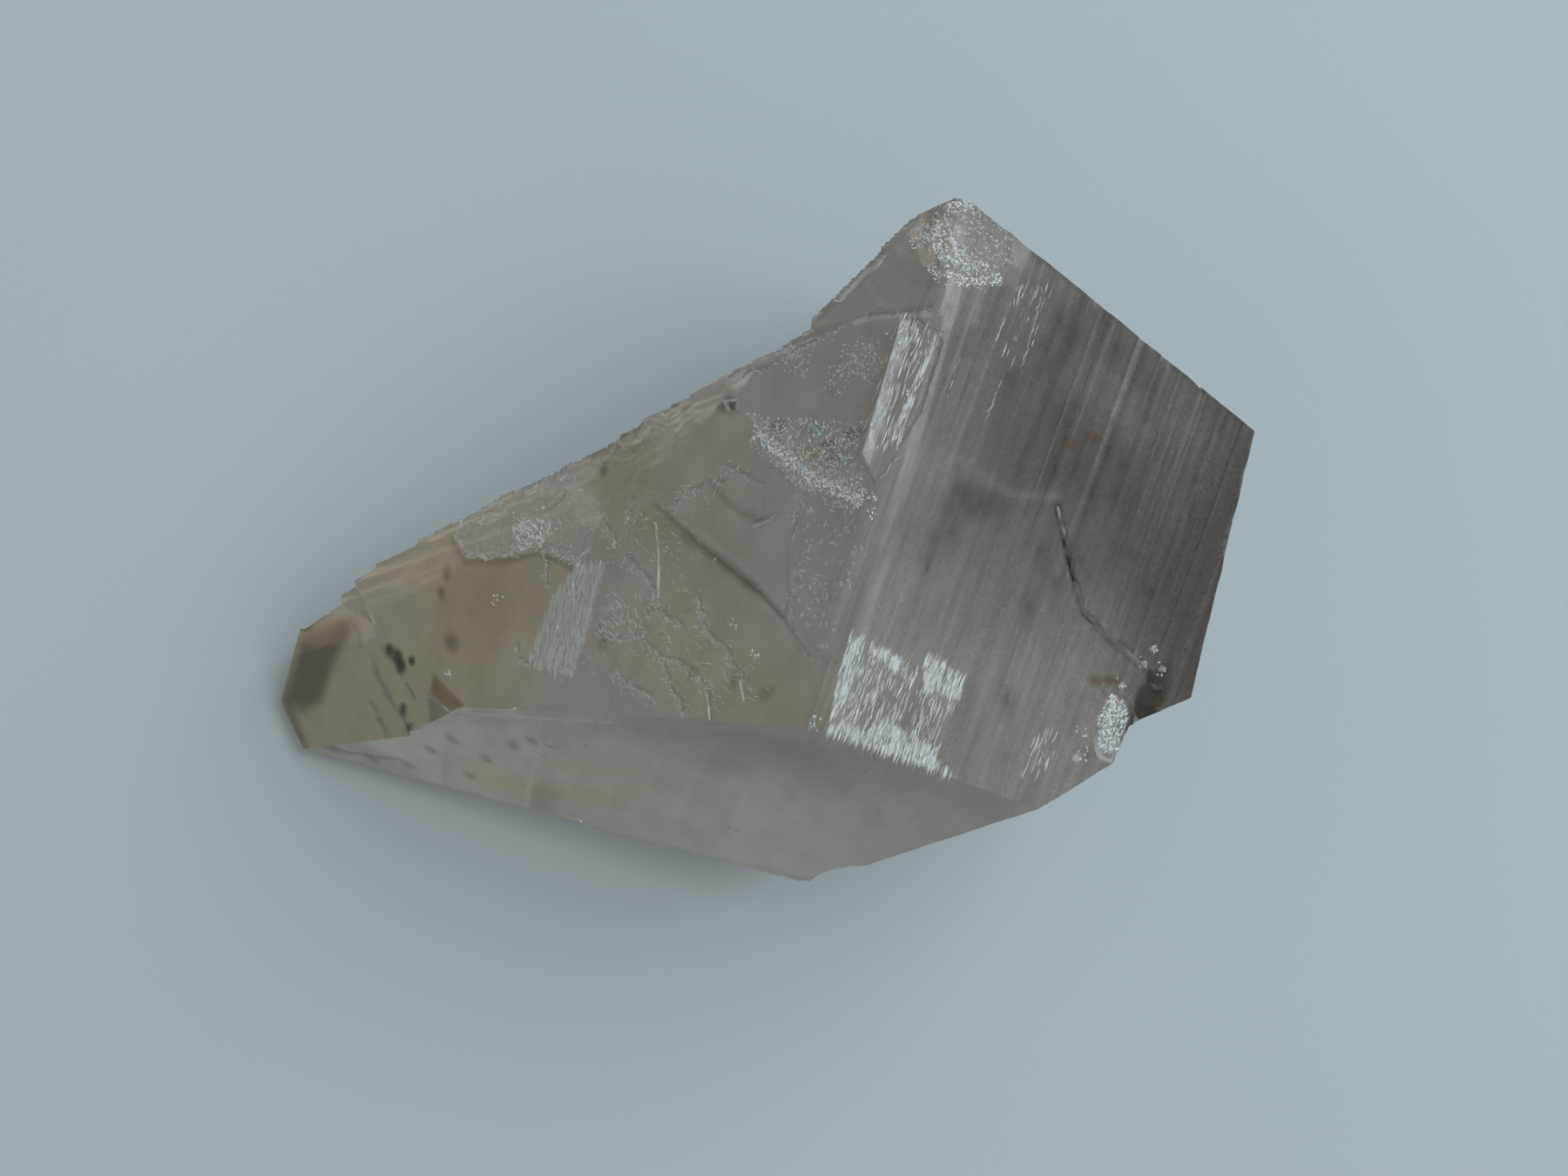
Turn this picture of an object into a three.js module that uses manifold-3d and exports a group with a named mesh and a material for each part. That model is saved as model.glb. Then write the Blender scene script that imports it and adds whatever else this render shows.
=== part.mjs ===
// Smoky quartz crystal, lying on one of its prism faces. Millimetres, +Z up.
//
// The crystal is one solid. It starts as a block that every face of the crystal cuts along a plane.
// Growth steps, plates, grooves, chips and conchoidal hollows are then cut into the faces or joined
// to them. The long axis of the crystal (its c axis) points towards -X and a little towards +Y.

import * as THREE from "three";
import { ConvexGeometry } from "three/addons/geometries/ConvexGeometry.js";
import { mergeVertices } from "three/addons/utils/BufferGeometryUtils.js";
import Module from "manifold-3d";

const wasm = await Module();
wasm.setup();

// ---------------------------------------------------------------- driving dimensions
const THICKNESS = 36; // from the prism face it lies on to the big prism face on top
const AXIS_AZIMUTH = 160; // the way the c axis points, counterclockwise from +X, degrees
const SHOULDER = new THREE.Vector3(1.9, -9.6, THICKNESS); // corner of the three main faces
const TIP_DIP = 32; // slope of the big tip face, degrees from level
const TIP_TOWARDS = 165; // the way that slope falls
const SIDE_DIP = 62.6; // slope of the front prism face
const SIDE_TOWARDS = 250.2;
const STOCK = 240; // edge of the block and of the cutters, larger than the crystal
const CLEAR = 2; // how far a cutter reaches out past the face that it cuts

const STRIA_DEPTH = 0.13; // deepest growth step across the big prism face
const STRIA_WIDTH = 1.0; // usual width of one step there
const STRIA_SLANT = 0.12; // width of the riser between two steps
const STRIP_RISE = 0.18; // thickness of the raised strip on the big prism face
const PLATE_RISE = 0.24; // thickness of a growth plate on the tip face
const PLATE_ROOT = 0.6; // how deep a plate is rooted below its face
const PLATE_EDGE = 0.08; // run-out of a plate's sharp edge
const SOFT_EDGE = 0.5; // run-out of a rounded plate's edge
const CRACK_WIDTH = 0.45; // open crack in the big prism face
const CRACK_DEPTH = 0.7;
const LEDGE_DROP = 0.35; // back corner of the tip face, below the rest of it
const FLAKE_DEPTH = 0.2; // flake lost beyond the trough of the tip face
const CAVITY_DEPTH = 0.9; // small dark cavity near its back edge
const REST_STEP_DEPTH = 0.3; // short growth lines in the rest face

// Ledges behind the point, counted down from the big tip face or up from the steep tip face.
const OUTER_LEDGE = 0.4;
const INNER_LEDGE = 0.9;
const FACET_RISE = 0.9;
const TIP_RISE = 0.45;

// ---------------------------------------------------------------- small helpers
const degrees = Math.PI / 180;
const UP = new THREE.Vector3(0, 0, 1);

function directionOf(dip, towards) {
  // Outward normal of a face that slopes down by dip degrees towards an azimuth. A face with a
  // dip over 90 degrees overhangs.
  return new THREE.Vector3(
    Math.sin(dip * degrees) * Math.cos(towards * degrees),
    Math.sin(dip * degrees) * Math.sin(towards * degrees),
    Math.cos(dip * degrees),
  );
}

function seededRandom(seed) {
  let state = seed;
  return () => {
    state = (state * 1664525 + 1013904223) % 4294967296;
    return state / 4294967296;
  };
}

function solidOf(geometry) {
  // A closed three.js geometry as a solid, with shared corners merged and empty triangles left out.
  const bare = geometry.clone();
  bare.deleteAttribute("normal");
  bare.deleteAttribute("uv");
  const merged = mergeVertices(bare, 1e-3);
  const corners = merged.index.array;
  const kept = [];
  for (let i = 0; i < corners.length; i += 3) {
    const [a, b, c] = [corners[i], corners[i + 1], corners[i + 2]];
    if (a !== b && b !== c && c !== a) kept.push(a, b, c);
  }
  const mesh = new wasm.Mesh({
    numProp: 3,
    vertProperties: new Float32Array(merged.attributes.position.array),
    triVerts: new Uint32Array(kept),
  });
  return new wasm.Manifold(mesh);
}

function geometryOf(solid) {
  const mesh = solid.getMesh();
  const geometry = new THREE.BufferGeometry();
  geometry.setAttribute("position", new THREE.BufferAttribute(mesh.vertProperties, 3));
  geometry.setIndex(new THREE.BufferAttribute(mesh.triVerts, 1));
  return geometry;
}

// ---------------------------------------------------------------- faces
class Face {
  // A face of the crystal: a point on it, its outward normal, and the direction of its x axis.
  // Its own x and y lie in the face, and its z points out of the crystal.
  constructor(point, normal, along) {
    this.point = point;
    this.normal = normal.clone().normalize();
    const y = new THREE.Vector3().crossVectors(this.normal, along).normalize();
    const x = new THREE.Vector3().crossVectors(y, this.normal);
    this.matrix = new THREE.Matrix4().makeBasis(x, y, this.normal).setPosition(point);
  }

  // What lies outside the face, as one big block.
  outside() {
    const block = new THREE.BoxGeometry(STOCK, STOCK, STOCK).translate(0, 0, STOCK / 2);
    return solidOf(block.applyMatrix4(this.matrix));
  }

  place(geometry) {
    return solidOf(geometry.applyMatrix4(this.matrix));
  }

  // A prism over an outline drawn on the face, from z = from to z = to.
  prism(outline, from, to) {
    const shape = new THREE.Shape(outline.map(([x, y]) => new THREE.Vector2(x, y)));
    const geometry = new THREE.ExtrudeGeometry(shape, { depth: to - from, bevelEnabled: false });
    return this.place(geometry.translate(0, 0, from));
  }

  // A raised plate with a sloping edge: its outline is given at the top.
  plate(outline, rise, spread) {
    const wide = spreadOutline(outline, spread);
    return this.place(loft(wide, outline, -PLATE_ROOT, rise));
  }

  // A V-shaped trench through points [x, y, width, depth].
  trench(route) {
    const clear = CLEAR / 2;
    const leastDepth = 0.2; // the walls of a shallower stretch lean no further
    let cut = null;
    for (let i = 0; i + 1 < route.length; i++) {
      const [x0, y0] = route[i];
      const [x1, y1] = route[i + 1];
      const side = new THREE.Vector2(y0 - y1, x1 - x0).normalize();
      const points = [];
      for (const [x, y, width, depth] of [route[i], route[i + 1]]) {
        const half = (width / 2) * (1 + clear / Math.max(depth, leastDepth));
        points.push(new THREE.Vector3(x, y, -depth));
        points.push(new THREE.Vector3(x + side.x * half, y + side.y * half, clear));
        points.push(new THREE.Vector3(x - side.x * half, y - side.y * half, clear));
      }
      const piece = this.place(new ConvexGeometry(points));
      cut = cut ? cut.add(piece) : piece;
    }
    return cut;
  }

  // A conchoidal hollow: a shallow bowl with ripples around the point where the blow fell.
  shell({ x, y, radius, depth, ripples = 3, sides = 26, stretch = 1, turn = 0 }) {
    const rings = 4 * ripples + 2;
    const reach = 1.25; // the bowl is drawn on past its rim, as a share of its radius
    const fade = 1.5; // the ripples would die away at this share
    const rippleHeight = 0.05 * depth;
    const profile = [];
    for (let i = 0; i <= rings; i++) {
      const r = (i / rings) * reach;
      const bowl = -depth * (1 - r * r);
      const ripple = rippleHeight * Math.sin(r * ripples * 2 * Math.PI) * (1 - r / fade);
      profile.push(new THREE.Vector2(r * radius, bowl + ripple));
    }
    const rim = profile[profile.length - 1];
    const lid = rim.y + 2 * depth + CLEAR / 2;
    profile.push(new THREE.Vector2(rim.x, lid));
    profile.push(new THREE.Vector2(0, lid));
    const bowl = new THREE.LatheGeometry(profile, sides).rotateX(Math.PI / 2);
    bowl.scale(stretch, 1, 1).rotateZ(turn * degrees).translate(x, y, 0);
    return this.place(bowl);
  }
}

function spreadOutline(outline, distance) {
  // Moves each corner of a counterclockwise or clockwise outline outwards.
  const points = outline.map(([x, y]) => new THREE.Vector2(x, y));
  const turn = THREE.ShapeUtils.isClockWise(points) ? -1 : 1;
  return points.map((point, i) => {
    const before = points[(i + points.length - 1) % points.length];
    const after = points[(i + 1) % points.length];
    const first = point.clone().sub(before).normalize();
    const second = after.clone().sub(point).normalize();
    const out = new THREE.Vector2(first.y + second.y, -first.x - second.x).normalize();
    return [point.x + out.x * distance * turn, point.y + out.y * distance * turn];
  });
}

function loft(lower, upper, zLower, zUpper) {
  // A closed solid between two outlines with the same number of corners.
  const corners = upper.map(([x, y]) => new THREE.Vector2(x, y));
  const clockwise = THREE.ShapeUtils.isClockWise(corners);
  const low = clockwise ? [...lower].reverse() : lower;
  const high = clockwise ? [...upper].reverse() : upper;
  const count = high.length;
  const position = [];
  for (const [x, y] of low) position.push(x, y, zLower);
  for (const [x, y] of high) position.push(x, y, zUpper);
  const index = [];
  for (let i = 0; i < count; i++) {
    const j = (i + 1) % count;
    index.push(i, j, count + j, i, count + j, count + i);
  }
  const highCorners = high.map(([x, y]) => new THREE.Vector2(x, y));
  const lowCorners = low.map(([x, y]) => new THREE.Vector2(x, y));
  for (const [a, b, c] of THREE.ShapeUtils.triangulateShape(highCorners, [])) {
    index.push(count + a, count + b, count + c);
  }
  for (const [a, b, c] of THREE.ShapeUtils.triangulateShape(lowCorners, [])) index.push(a, c, b);
  const geometry = new THREE.BufferGeometry();
  geometry.setAttribute("position", new THREE.Float32BufferAttribute(position, 3));
  geometry.setIndex(index);
  return geometry;
}

function facePlane(point, dip, towards) {
  // The face through a point [x, y, z]. Its x axis is level.
  const level = new THREE.Vector3().crossVectors(UP, directionOf(90, towards));
  return new Face(new THREE.Vector3(...point), directionOf(dip, towards), level);
}

function faceThrough(a, b, c) {
  // The face through three points, counterclockwise seen from outside the crystal.
  const [p, q, r] = [a, b, c].map(([x, y, z]) => new THREE.Vector3(x, y, z));
  const along = q.clone().sub(p);
  return new Face(p, new THREE.Vector3().crossVectors(along, r.clone().sub(p)), along);
}

const awayFromTip = directionOf(90, AXIS_AZIMUTH + 180);
const upTheEdge = directionOf(90, TIP_TOWARDS - 90);

// x runs along the c axis away from the tip, y along the growth lines
const top = new Face(SHOULDER, UP, awayFromTip);
// x runs up the edge between the top and the tip face, y down the slope
const tip = new Face(SHOULDER, directionOf(TIP_DIP, TIP_TOWARDS), upTheEdge);
// x runs along the c axis away from the tip, y up the slope
const side = new Face(SHOULDER, directionOf(SIDE_DIP, SIDE_TOWARDS), awayFromTip);
const rest = new Face(new THREE.Vector3(0, 0, 0), new THREE.Vector3(0, 0, -1), awayFromTip);
// seen from above, x and y as in the whole model
const plan = new Face(new THREE.Vector3(0, 0, 0), UP, new THREE.Vector3(1, 0, 0));

// Corners of the outline seen from above, with their heights.
const sideEnd = [17.5, -15.2, THICKNESS]; // where the top, the front face and the break meet
const sideLow = [1.9, -23.5, 10.7]; // lowest reach of the front face
const tipLow = [-39.8, -13.5, 1.9]; // the tip's lower corner
const tipPoint = [-41.7, -9.3, 1.8];
const farLeft = [7.3, 24.8, THICKNESS]; // far corners of the big prism face
const farCorner = [11.7, 26.8, THICKNESS];
const rightCorner = [32.4, 10.8, THICKNESS];
const rightLow = [28.1, -7.5, THICKNESS];

const innerCorner = [23.7, -9.5, THICKNESS]; // where the break steps in, beside the pit

// The other faces. Each goes through three points or, in facePlane, through a corner with a dip and
// the azimuth it falls towards, in degrees.
const underFront = faceThrough(tipLow, [3.9, -18, 0], sideLow);
const underBack = faceThrough([0.3, 17.6, 30.6], [-1.6, 6.2, 0], [-31.2, 2.4, 14.1]);
const shoulderBack = facePlane(farLeft, 97, 131);
const breakFront = faceThrough(sideLow, [24.6, -9.9, 12], sideEnd);
const breakRight = facePlane(rightCorner, 97, -13.5);
const breakFar = facePlane(rightCorner, 94, 50.9);
const breakLow = facePlane(rightLow, 86, -66);
const breakInner = facePlane(innerCorner, 84, -22);
const farBevel = facePlane(farCorner, 82, 76);
const backBevel = facePlane(farLeft, 84, 114.5);
const tipEnd = facePlane(tipPoint, 95, 154.4);
const tipChamfer = facePlane(tipLow, 78, 205);

// The part of the crystal's outside that is beyond two faces at once: an inner corner.
const beyondBoth = (first, second) => first.outside().intersect(second.outside());

function rawCrystal() {
  // The block, cut by every face of the crystal.
  const block = new THREE.BoxGeometry(STOCK, STOCK, THICKNESS).translate(0, 0, THICKNESS / 2);
  let crystal = solidOf(block);
  const faces = [tip, side, underFront, breakFront, breakRight, breakFar];
  for (const face of [...faces, farBevel, backBevel, tipEnd, tipChamfer]) {
    crystal = crystal.subtract(face.outside());
  }
  // The back of the tip is set in from the back of the shoulder, and the break is set in too.
  crystal = crystal.subtract(beyondBoth(underBack, shoulderBack));
  return crystal.subtract(beyondBoth(breakLow, breakInner));
}

// ---------------------------------------------------------------- growth lines
function growthSteps(face, { from, to, width, depth, seed, calm = 1 }) {
  // Treads of uneven width and height that run straight along the y of a face, as one cutter.
  // Within a distance of calm from x = 0 they get shallower towards it.
  const random = seededRandom(seed);
  const past = 20; // level stretch before the first tread and after the last
  const [least, spread] = [0.35, 1.3]; // shares of the usual width of a tread
  const points = [[from - past, CLEAR], [from - past, 0]];
  let x = from;
  let level = 0;
  while (x < to) {
    points.push([x, level]);
    level = -depth * random() * Math.min(1, Math.abs(x) / calm);
    points.push([x + STRIA_SLANT, level]);
    x += width * (least + spread * random());
  }
  points.push([to + past, level], [to + past, CLEAR]);
  const shape = new THREE.Shape(points.map(([px, pz]) => new THREE.Vector2(px, pz)));
  const run = new THREE.ExtrudeGeometry(shape, { depth: STOCK, bevelEnabled: false });
  return face.place(run.rotateX(Math.PI / 2).translate(0, STOCK / 2, 0));
}

function shortSteps(face, { count, from, to, low, high, seed, depth }) {
  // Growth lines that stop part of the way: thin strips sunk a little below the treads.
  const random = seededRandom(seed);
  const between = (least, most) => least + (most - least) * random();
  const strips = [];
  for (let i = 0; i < count; i++) {
    const x = between(from, to);
    const y = between(low, high);
    const width = between(0.25, 0.75);
    const length = between(3, 10);
    const outline = [[x, y], [x + width, y], [x + width, y + length], [x, y + length]];
    strips.push(face.prism(outline, -depth * between(1, 1.4), CLEAR));
  }
  return strips;
}

function cutAll(solid, cutters) {
  return cutters.reduce((left, cutter) => left.subtract(cutter), solid);
}

// ---------------------------------------------------------------- the top face
// A raised strip of growth lines along the back of the edge to the tip face.
const growthStrip = [[-0.7, 28.2], [-0.4, 22.7], [-1.6, 17.2], [-3.2, 19], [-3.8, 28.6]];
// Points of a crack: x, y, width, depth.
const crack = [[10.7, 20.1, 0.2, 0.4], [12.8, 16.7, CRACK_WIDTH, CRACK_DEPTH],
  [14.9, 13.8, CRACK_WIDTH, CRACK_DEPTH], [17.6, 12.7, 0.4, 0.8], [20.4, 11.6, 0.4, 0.9]];
const stepCrack = [[-3.9, 29.3, 0.3, 0.2], [-1.9, 28.6, 0.3, 0.25], [-0.7, 28.7, 0.2, 0.1]];
// The crack ends in a pit that opens onto the break.
const pit = [[20.4, 11.9, 0.5, 0.5], [21.1, 10.5, 1.5, 1.5], [21.3, 9.3, 1.8, 1.8],
  [21.3, 7.0, 1.7, 1.7]];
const topHollows = [
  // the bruised far corner
  { x: -0.6, y: 37.2, radius: 3.9, depth: 0.6, ripples: 3, stretch: 0.85 },
  { x: -4.2, y: 35.6, radius: 1.9, depth: 0.5, ripples: 2, sides: 18 },
  { x: 2.4, y: 36.6, radius: 2.2, depth: 0.35, ripples: 2, sides: 18 },
  // chips around the inner corner of the break
  { x: 20.4, y: 6.5, radius: 2.1, depth: 1.1, ripples: 2, sides: 20 },
  { x: 19.6, y: 8.7, radius: 0.9, depth: 0.4, ripples: 1, sides: 14 },
  { x: 18.0, y: 4.6, radius: 0.7, depth: 0.3, ripples: 1, sides: 12 },
  // small chips along the far and right edges, and at the shoulder
  { x: 10.1, y: 34.3, radius: 0.5, depth: 0.25, ripples: 1, sides: 9 },
  { x: 17.0, y: 31.5, radius: 0.45, depth: 0.25, ripples: 1, sides: 9 },
  { x: 5.0, y: 36.1, radius: 0.6, depth: 0.3, ripples: 1, sides: 9 },
  { x: 23.1, y: 23.6, radius: 0.9, depth: 0.6, ripples: 1, sides: 10 },
  { x: 23.9, y: 19.4, radius: 0.8, depth: 0.5, ripples: 1, sides: 10 },
  { x: 24.1, y: 14.3, radius: 0.7, depth: 0.4, ripples: 1, sides: 10 },
  { x: 0.1, y: -0.1, radius: 0.7, depth: 0.35, ripples: 1, sides: 10 },
];

function topDetails(crystal) {
  let solid = crystal.subtract(growthSteps(top, {
    from: -6, to: 24, width: STRIA_WIDTH, depth: STRIA_DEPTH, seed: 7, calm: 2,
  }));
  solid = solid.add(top.plate(growthStrip, STRIP_RISE, PLATE_EDGE));
  return cutAll(solid, [
    top.trench(crack),
    top.trench(stepCrack),
    top.trench(pit),
    ...topHollows.map((hollow) => top.shell(hollow)),
  ]);
}

// ---------------------------------------------------------------- the tip face
const trough = [[12.2, 18.0, 0.3, 0.1], [11.6, 16.2, 0.7, 0.35], [9.6, 11.4, 1.1, 0.5],
  [8.2, 7.4, 1.0, 0.5], [6.9, 4.9, 0.8, 0.4], [4.6, 1.6, 0.3, 0.1]];
// Plates that the face grew one on another, as outlines at their top.
const cornerPlate = [[12.1, 5.6], [15.4, 5.4], [15.8, 1.0], [15.4, -0.4], [9.2, -0.4], [8.6, 4.6]];
const leanPlate = [[6.6, 3.9], [8.7, 3.9], [10.8, 3.2], [12.9, 2.0], [14.2, 0.4], [4.6, -0.3]];
const roundPlate = [[11.4, 18.3], [9.2, 19.6], [7.0, 20.2], [3.9, 20.3], [2.1, 19.2], [1.8, 17.6],
  [3.0, 15.4], [5.6, 15.2], [8.6, 16.1], [10.9, 17.2]];
const bandPlate = [[6.0, 25.4], [7.2, 21.0], [2.6, 20.7], [-1.5, 21.0], [-1.9, 23.4], [-1.3, 26.1]];
const hillocks = [
  [[4.1, 15.4], [3.4, 13.6], [1.9, 12.5], [1.6, 10.8], [0.2, 9.0], [-1.7, 8.2], [-3.2, 9.4],
    [-3.0, 13.8], [-1.2, 17.6], [1.6, 17.2]],
  [[6.0, 11.8], [4.4, 10.6], [3.2, 8.9], [2.4, 8.0], [1.8, 6.7], [0.4, 5.9], [-1.0, 6.6],
    [-0.6, 9.0], [1.4, 10.9], [3.4, 13.0], [5.2, 13.2]],
  [[-0.5, 17.1], [-0.9, 15.6], [-1.4, 14.2], [-1.2, 12.6], [-1.8, 10.4], [-3.6, 11.0],
    [-3.8, 16.0], [-2.0, 18.2]],
];
// A flake lost beyond the trough, and a small dark cavity near the back edge.
const flake = [[13.9, 12.9], [12.6, 11.4], [12.9, 9.2], [14.2, 7.0], [15.9, 6.6], [17.0, 8.4],
  [16.2, 10.2], [15.4, 12.6]];
const cavity = [[20.7, 14.2], [20.0, 13.6], [20.2, 12.9], [21.0, 13.1]];
// The back corner of the face lies a step lower.
const backLedge = [[24.2, 12.6], [25.6, 10.0], [27.1, 7.6], [28.8, 4.4], [30.1, -1.0], [44, -4],
  [44, 16]];
// Broken rims, seen from above: at the back corner, and in small steps behind the tip.
const cornerRim = [[-0.4, 17.2], [2.0, 18.5], [2.2, 20.0], [3.0, 20.7], [3.4, 21.7], [4.1, 22.3],
  [6.9, 24.0], [7.4, 25.1], [5, 28], [-4, 24]];
const tipRim = [[-31.9, 2.4], [-31.8, 1.6], [-33.6, 0.6], [-33.5, 0.1], [-34.9, -0.6],
  [-34.8, -1.2], [-38.8, -3.3], [-44, -3.3], [-44, 7], [-31.9, 7]];
const RIM_LEVEL = 22; // the break at the back corner is above this, the steps at the tip below it
const RIM_FOOT = 2; // those steps stop this far above the rest face
const tipHollows = [
  // clear hollows struck from the back edge
  { x: 13.4, y: 30.2, radius: 5.2, depth: 1.0, ripples: 3, stretch: 0.85 },
  { x: 15.6, y: 24.4, radius: 4.6, depth: 0.9, ripples: 2 },
  { x: 10.4, y: 35.0, radius: 3.4, depth: 0.6, ripples: 2, sides: 20 },
];

function tipDetails(crystal) {
  let solid = crystal;
  const raised = [
    tip.plate(bandPlate, PLATE_RISE * 0.5, SOFT_EDGE),
    tip.plate(roundPlate, PLATE_RISE, SOFT_EDGE),
    tip.plate(cornerPlate, PLATE_RISE, PLATE_EDGE),
    tip.plate(leanPlate, PLATE_RISE * 0.6, PLATE_EDGE),
  ];
  for (const [i, outline] of hillocks.entries()) {
    const share = 0.85 - 0.25 * i; // each hillock is lower than the one before it
    raised.push(tip.plate(outline, PLATE_RISE * share, SOFT_EDGE));
  }
  for (const plate of raised) {
    solid = solid.add(plate.subtract(top.outside()).subtract(side.outside()));
  }
  return cutAll(solid, [
    tip.trench(trough),
    tip.prism(backLedge, -LEDGE_DROP, CLEAR),
    plan.prism(cornerRim, RIM_LEVEL, THICKNESS + CLEAR),
    plan.prism(tipRim, RIM_FOOT, RIM_LEVEL),
    ...tipHollows.map((hollow) => tip.shell(hollow)),
    tip.prism(flake, -FLAKE_DEPTH, CLEAR),
    tip.prism(cavity, -CAVITY_DEPTH, CLEAR),
  ]);
}

// ---------------------------------------------------------------- steps at the tip
// The steep face of the very tip, and the facet that drops to it from the big tip face.
const tipFace = faceThrough([-29.4, -11.7, 11.7], [-35.0, -0.6, 11.0], tipLow);
const brownFacet = faceThrough([-28.5, -5.5, 17.0], [-29.4, -11.9, 11.9], [-24.2, -8.9, 20.1]);

function wallAlong(start, end, dip) {
  // A steep face from a point [x, y, z] to a point [x, y], facing to the left of start to end.
  const run = new THREE.Vector2(end[0] - start[0], end[1] - start[1]);
  const towards = Math.atan2(run.x, -run.y) / degrees;
  return facePlane(start, dip, towards);
}

function lowered(face, distance) {
  return new Face(face.point.clone().addScaledVector(face.normal, -distance), face.normal,
    new THREE.Vector3().setFromMatrixColumn(face.matrix, 0));
}

function tipLedges(crystal) {
  const outerWall = wallAlong([-24.2, -8.9, 20], [-30.1, -4.7], 80);
  const plateWall = wallAlong([-30.1, -4.7, 15.9], [-31.7, 2.0], 84);
  const innerWall = wallAlong([-28.4, -11.1, 13], [-33.6, 0.5], 76);
  const tipWall = wallAlong([-29.4, -11.9, 11.6], [-34.9, -1.0], 70);
  return cutAll(crystal, [
    beyondBoth(plateWall, lowered(tip, OUTER_LEDGE)).intersect(outerWall.outside()),
    beyondBoth(brownFacet, lowered(tipFace, -FACET_RISE)),
    beyondBoth(innerWall, lowered(tip, INNER_LEDGE)),
    beyondBoth(innerWall, lowered(tipFace, -TIP_RISE)),
    beyondBoth(tipWall, tipFace),
  ]);
}

// ---------------------------------------------------------------- the other faces
const sideChips = [
  { x: -17.6, y: -19.2, radius: 0.8, depth: 0.25, ripples: 1, sides: 12 },
  { x: -14.6, y: -32.4, radius: 0.7, depth: 0.4, ripples: 1, sides: 12 },
  { x: 4.7, y: -28.6, radius: 0.9, depth: 0.3, ripples: 1, sides: 12 },
];

function sideDetails(crystal) {
  let solid = crystal.subtract(growthSteps(side, {
    from: -40, to: 15, width: 3.4, depth: 0.06, seed: 5, calm: 3,
  }));
  solid = solid.subtract(growthSteps(underFront, {
    from: 0, to: 44, width: 3.0, depth: 0.35, seed: 11,
  }));
  solid = cutAll(solid, shortSteps(rest, {
    count: 9, from: -20, to: 18, low: -12, high: 6, seed: 3, depth: REST_STEP_DEPTH,
  }));
  return cutAll(solid, sideChips.map((chip) => side.shell(chip)));
}

function backDetails(crystal) {
  // Level ledges under the back of the tip, upright ones behind the shoulder, and a few hollows.
  // The two faces meet in an inner corner, so what is cut into one stops at the other.
  const underTip = [
    growthSteps(underBack, { from: 4, to: 34, width: 2.8, depth: 0.3, seed: 17 }),
    underBack.shell({ x: 31, y: -22, radius: 7, depth: 1.2, ripples: 3 }),
    underBack.shell({ x: 12, y: 2, radius: 4, depth: 0.7, ripples: 2, sides: 20 }),
  ];
  const behindShoulder = [
    growthSteps(shoulderBack, { from: -22, to: 4, width: 2.4, depth: 0.35, seed: 29 }),
    shoulderBack.shell({ x: -4, y: -36, radius: 9, depth: 1.5, ripples: 3 }),
  ];
  return cutAll(crystal, [
    ...underTip.map((cutter) => cutter.intersect(shoulderBack.outside())),
    ...behindShoulder.map((cutter) => cutter.intersect(underBack.outside())),
  ]);
}

function brokenEnd(crystal) {
  // Conchoidal hollows, each struck from an edge of the break, low enough to leave the top whole.
  return cutAll(crystal, [
    breakFar.shell({ x: 3, y: -36, radius: 19, depth: 2.6, ripples: 4, sides: 40, stretch: 1.2 }),
    breakFar.shell({ x: 26, y: -20, radius: 10, depth: 1.6, ripples: 3, sides: 30 }),
    breakRight.shell({ x: 2, y: -22, radius: 12, depth: 2.0, ripples: 4, sides: 34 }),
    breakRight.shell({ x: -17, y: -36, radius: 8, depth: 1.2, ripples: 2 }),
    breakFront.shell({ x: 26, y: -4, radius: 9, depth: 1.6, ripples: 3, sides: 30 }),
    breakFront.shell({ x: 4, y: 2, radius: 5, depth: 0.8, ripples: 2, sides: 22 }),
  ]);
}

let crystal = rawCrystal();
crystal = topDetails(crystal);
crystal = tipDetails(crystal);
crystal = tipLedges(crystal);
crystal = sideDetails(crystal);
crystal = backDetails(crystal);
crystal = brokenEnd(crystal);

// ---------------------------------------------------------------- the finished part
const quartz = new THREE.MeshStandardMaterial({
  name: "smoky_quartz",
  color: 0x8a8479,
  roughness: 0.25,
  metalness: 0,
  flatShading: true,
});
const mesh = new THREE.Mesh(geometryOf(crystal), quartz);
mesh.name = "smoky_quartz_crystal";

// The origin is the middle of the rest face's level, under the middle of the crystal.
const box = new THREE.Box3().setFromObject(mesh);
mesh.position.set(-(box.min.x + box.max.x) / 2, -(box.min.y + box.max.y) / 2, -box.min.z);

const part = new THREE.Group();
part.add(mesh);
export default part;
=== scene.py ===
"""A smoky quartz crystal lying on a pale table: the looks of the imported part.

Blender works in metres. Places on a face of the crystal are given in millimetres, in that face's own
x and y, counted from the shoulder: the corner where its three main faces meet.
"""
import math

import bmesh
import bpy
import numpy as np
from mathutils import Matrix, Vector, noise
from mathutils.bvhtree import BVHTree
from mathutils.geometry import delaunay_2d_cdt


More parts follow.
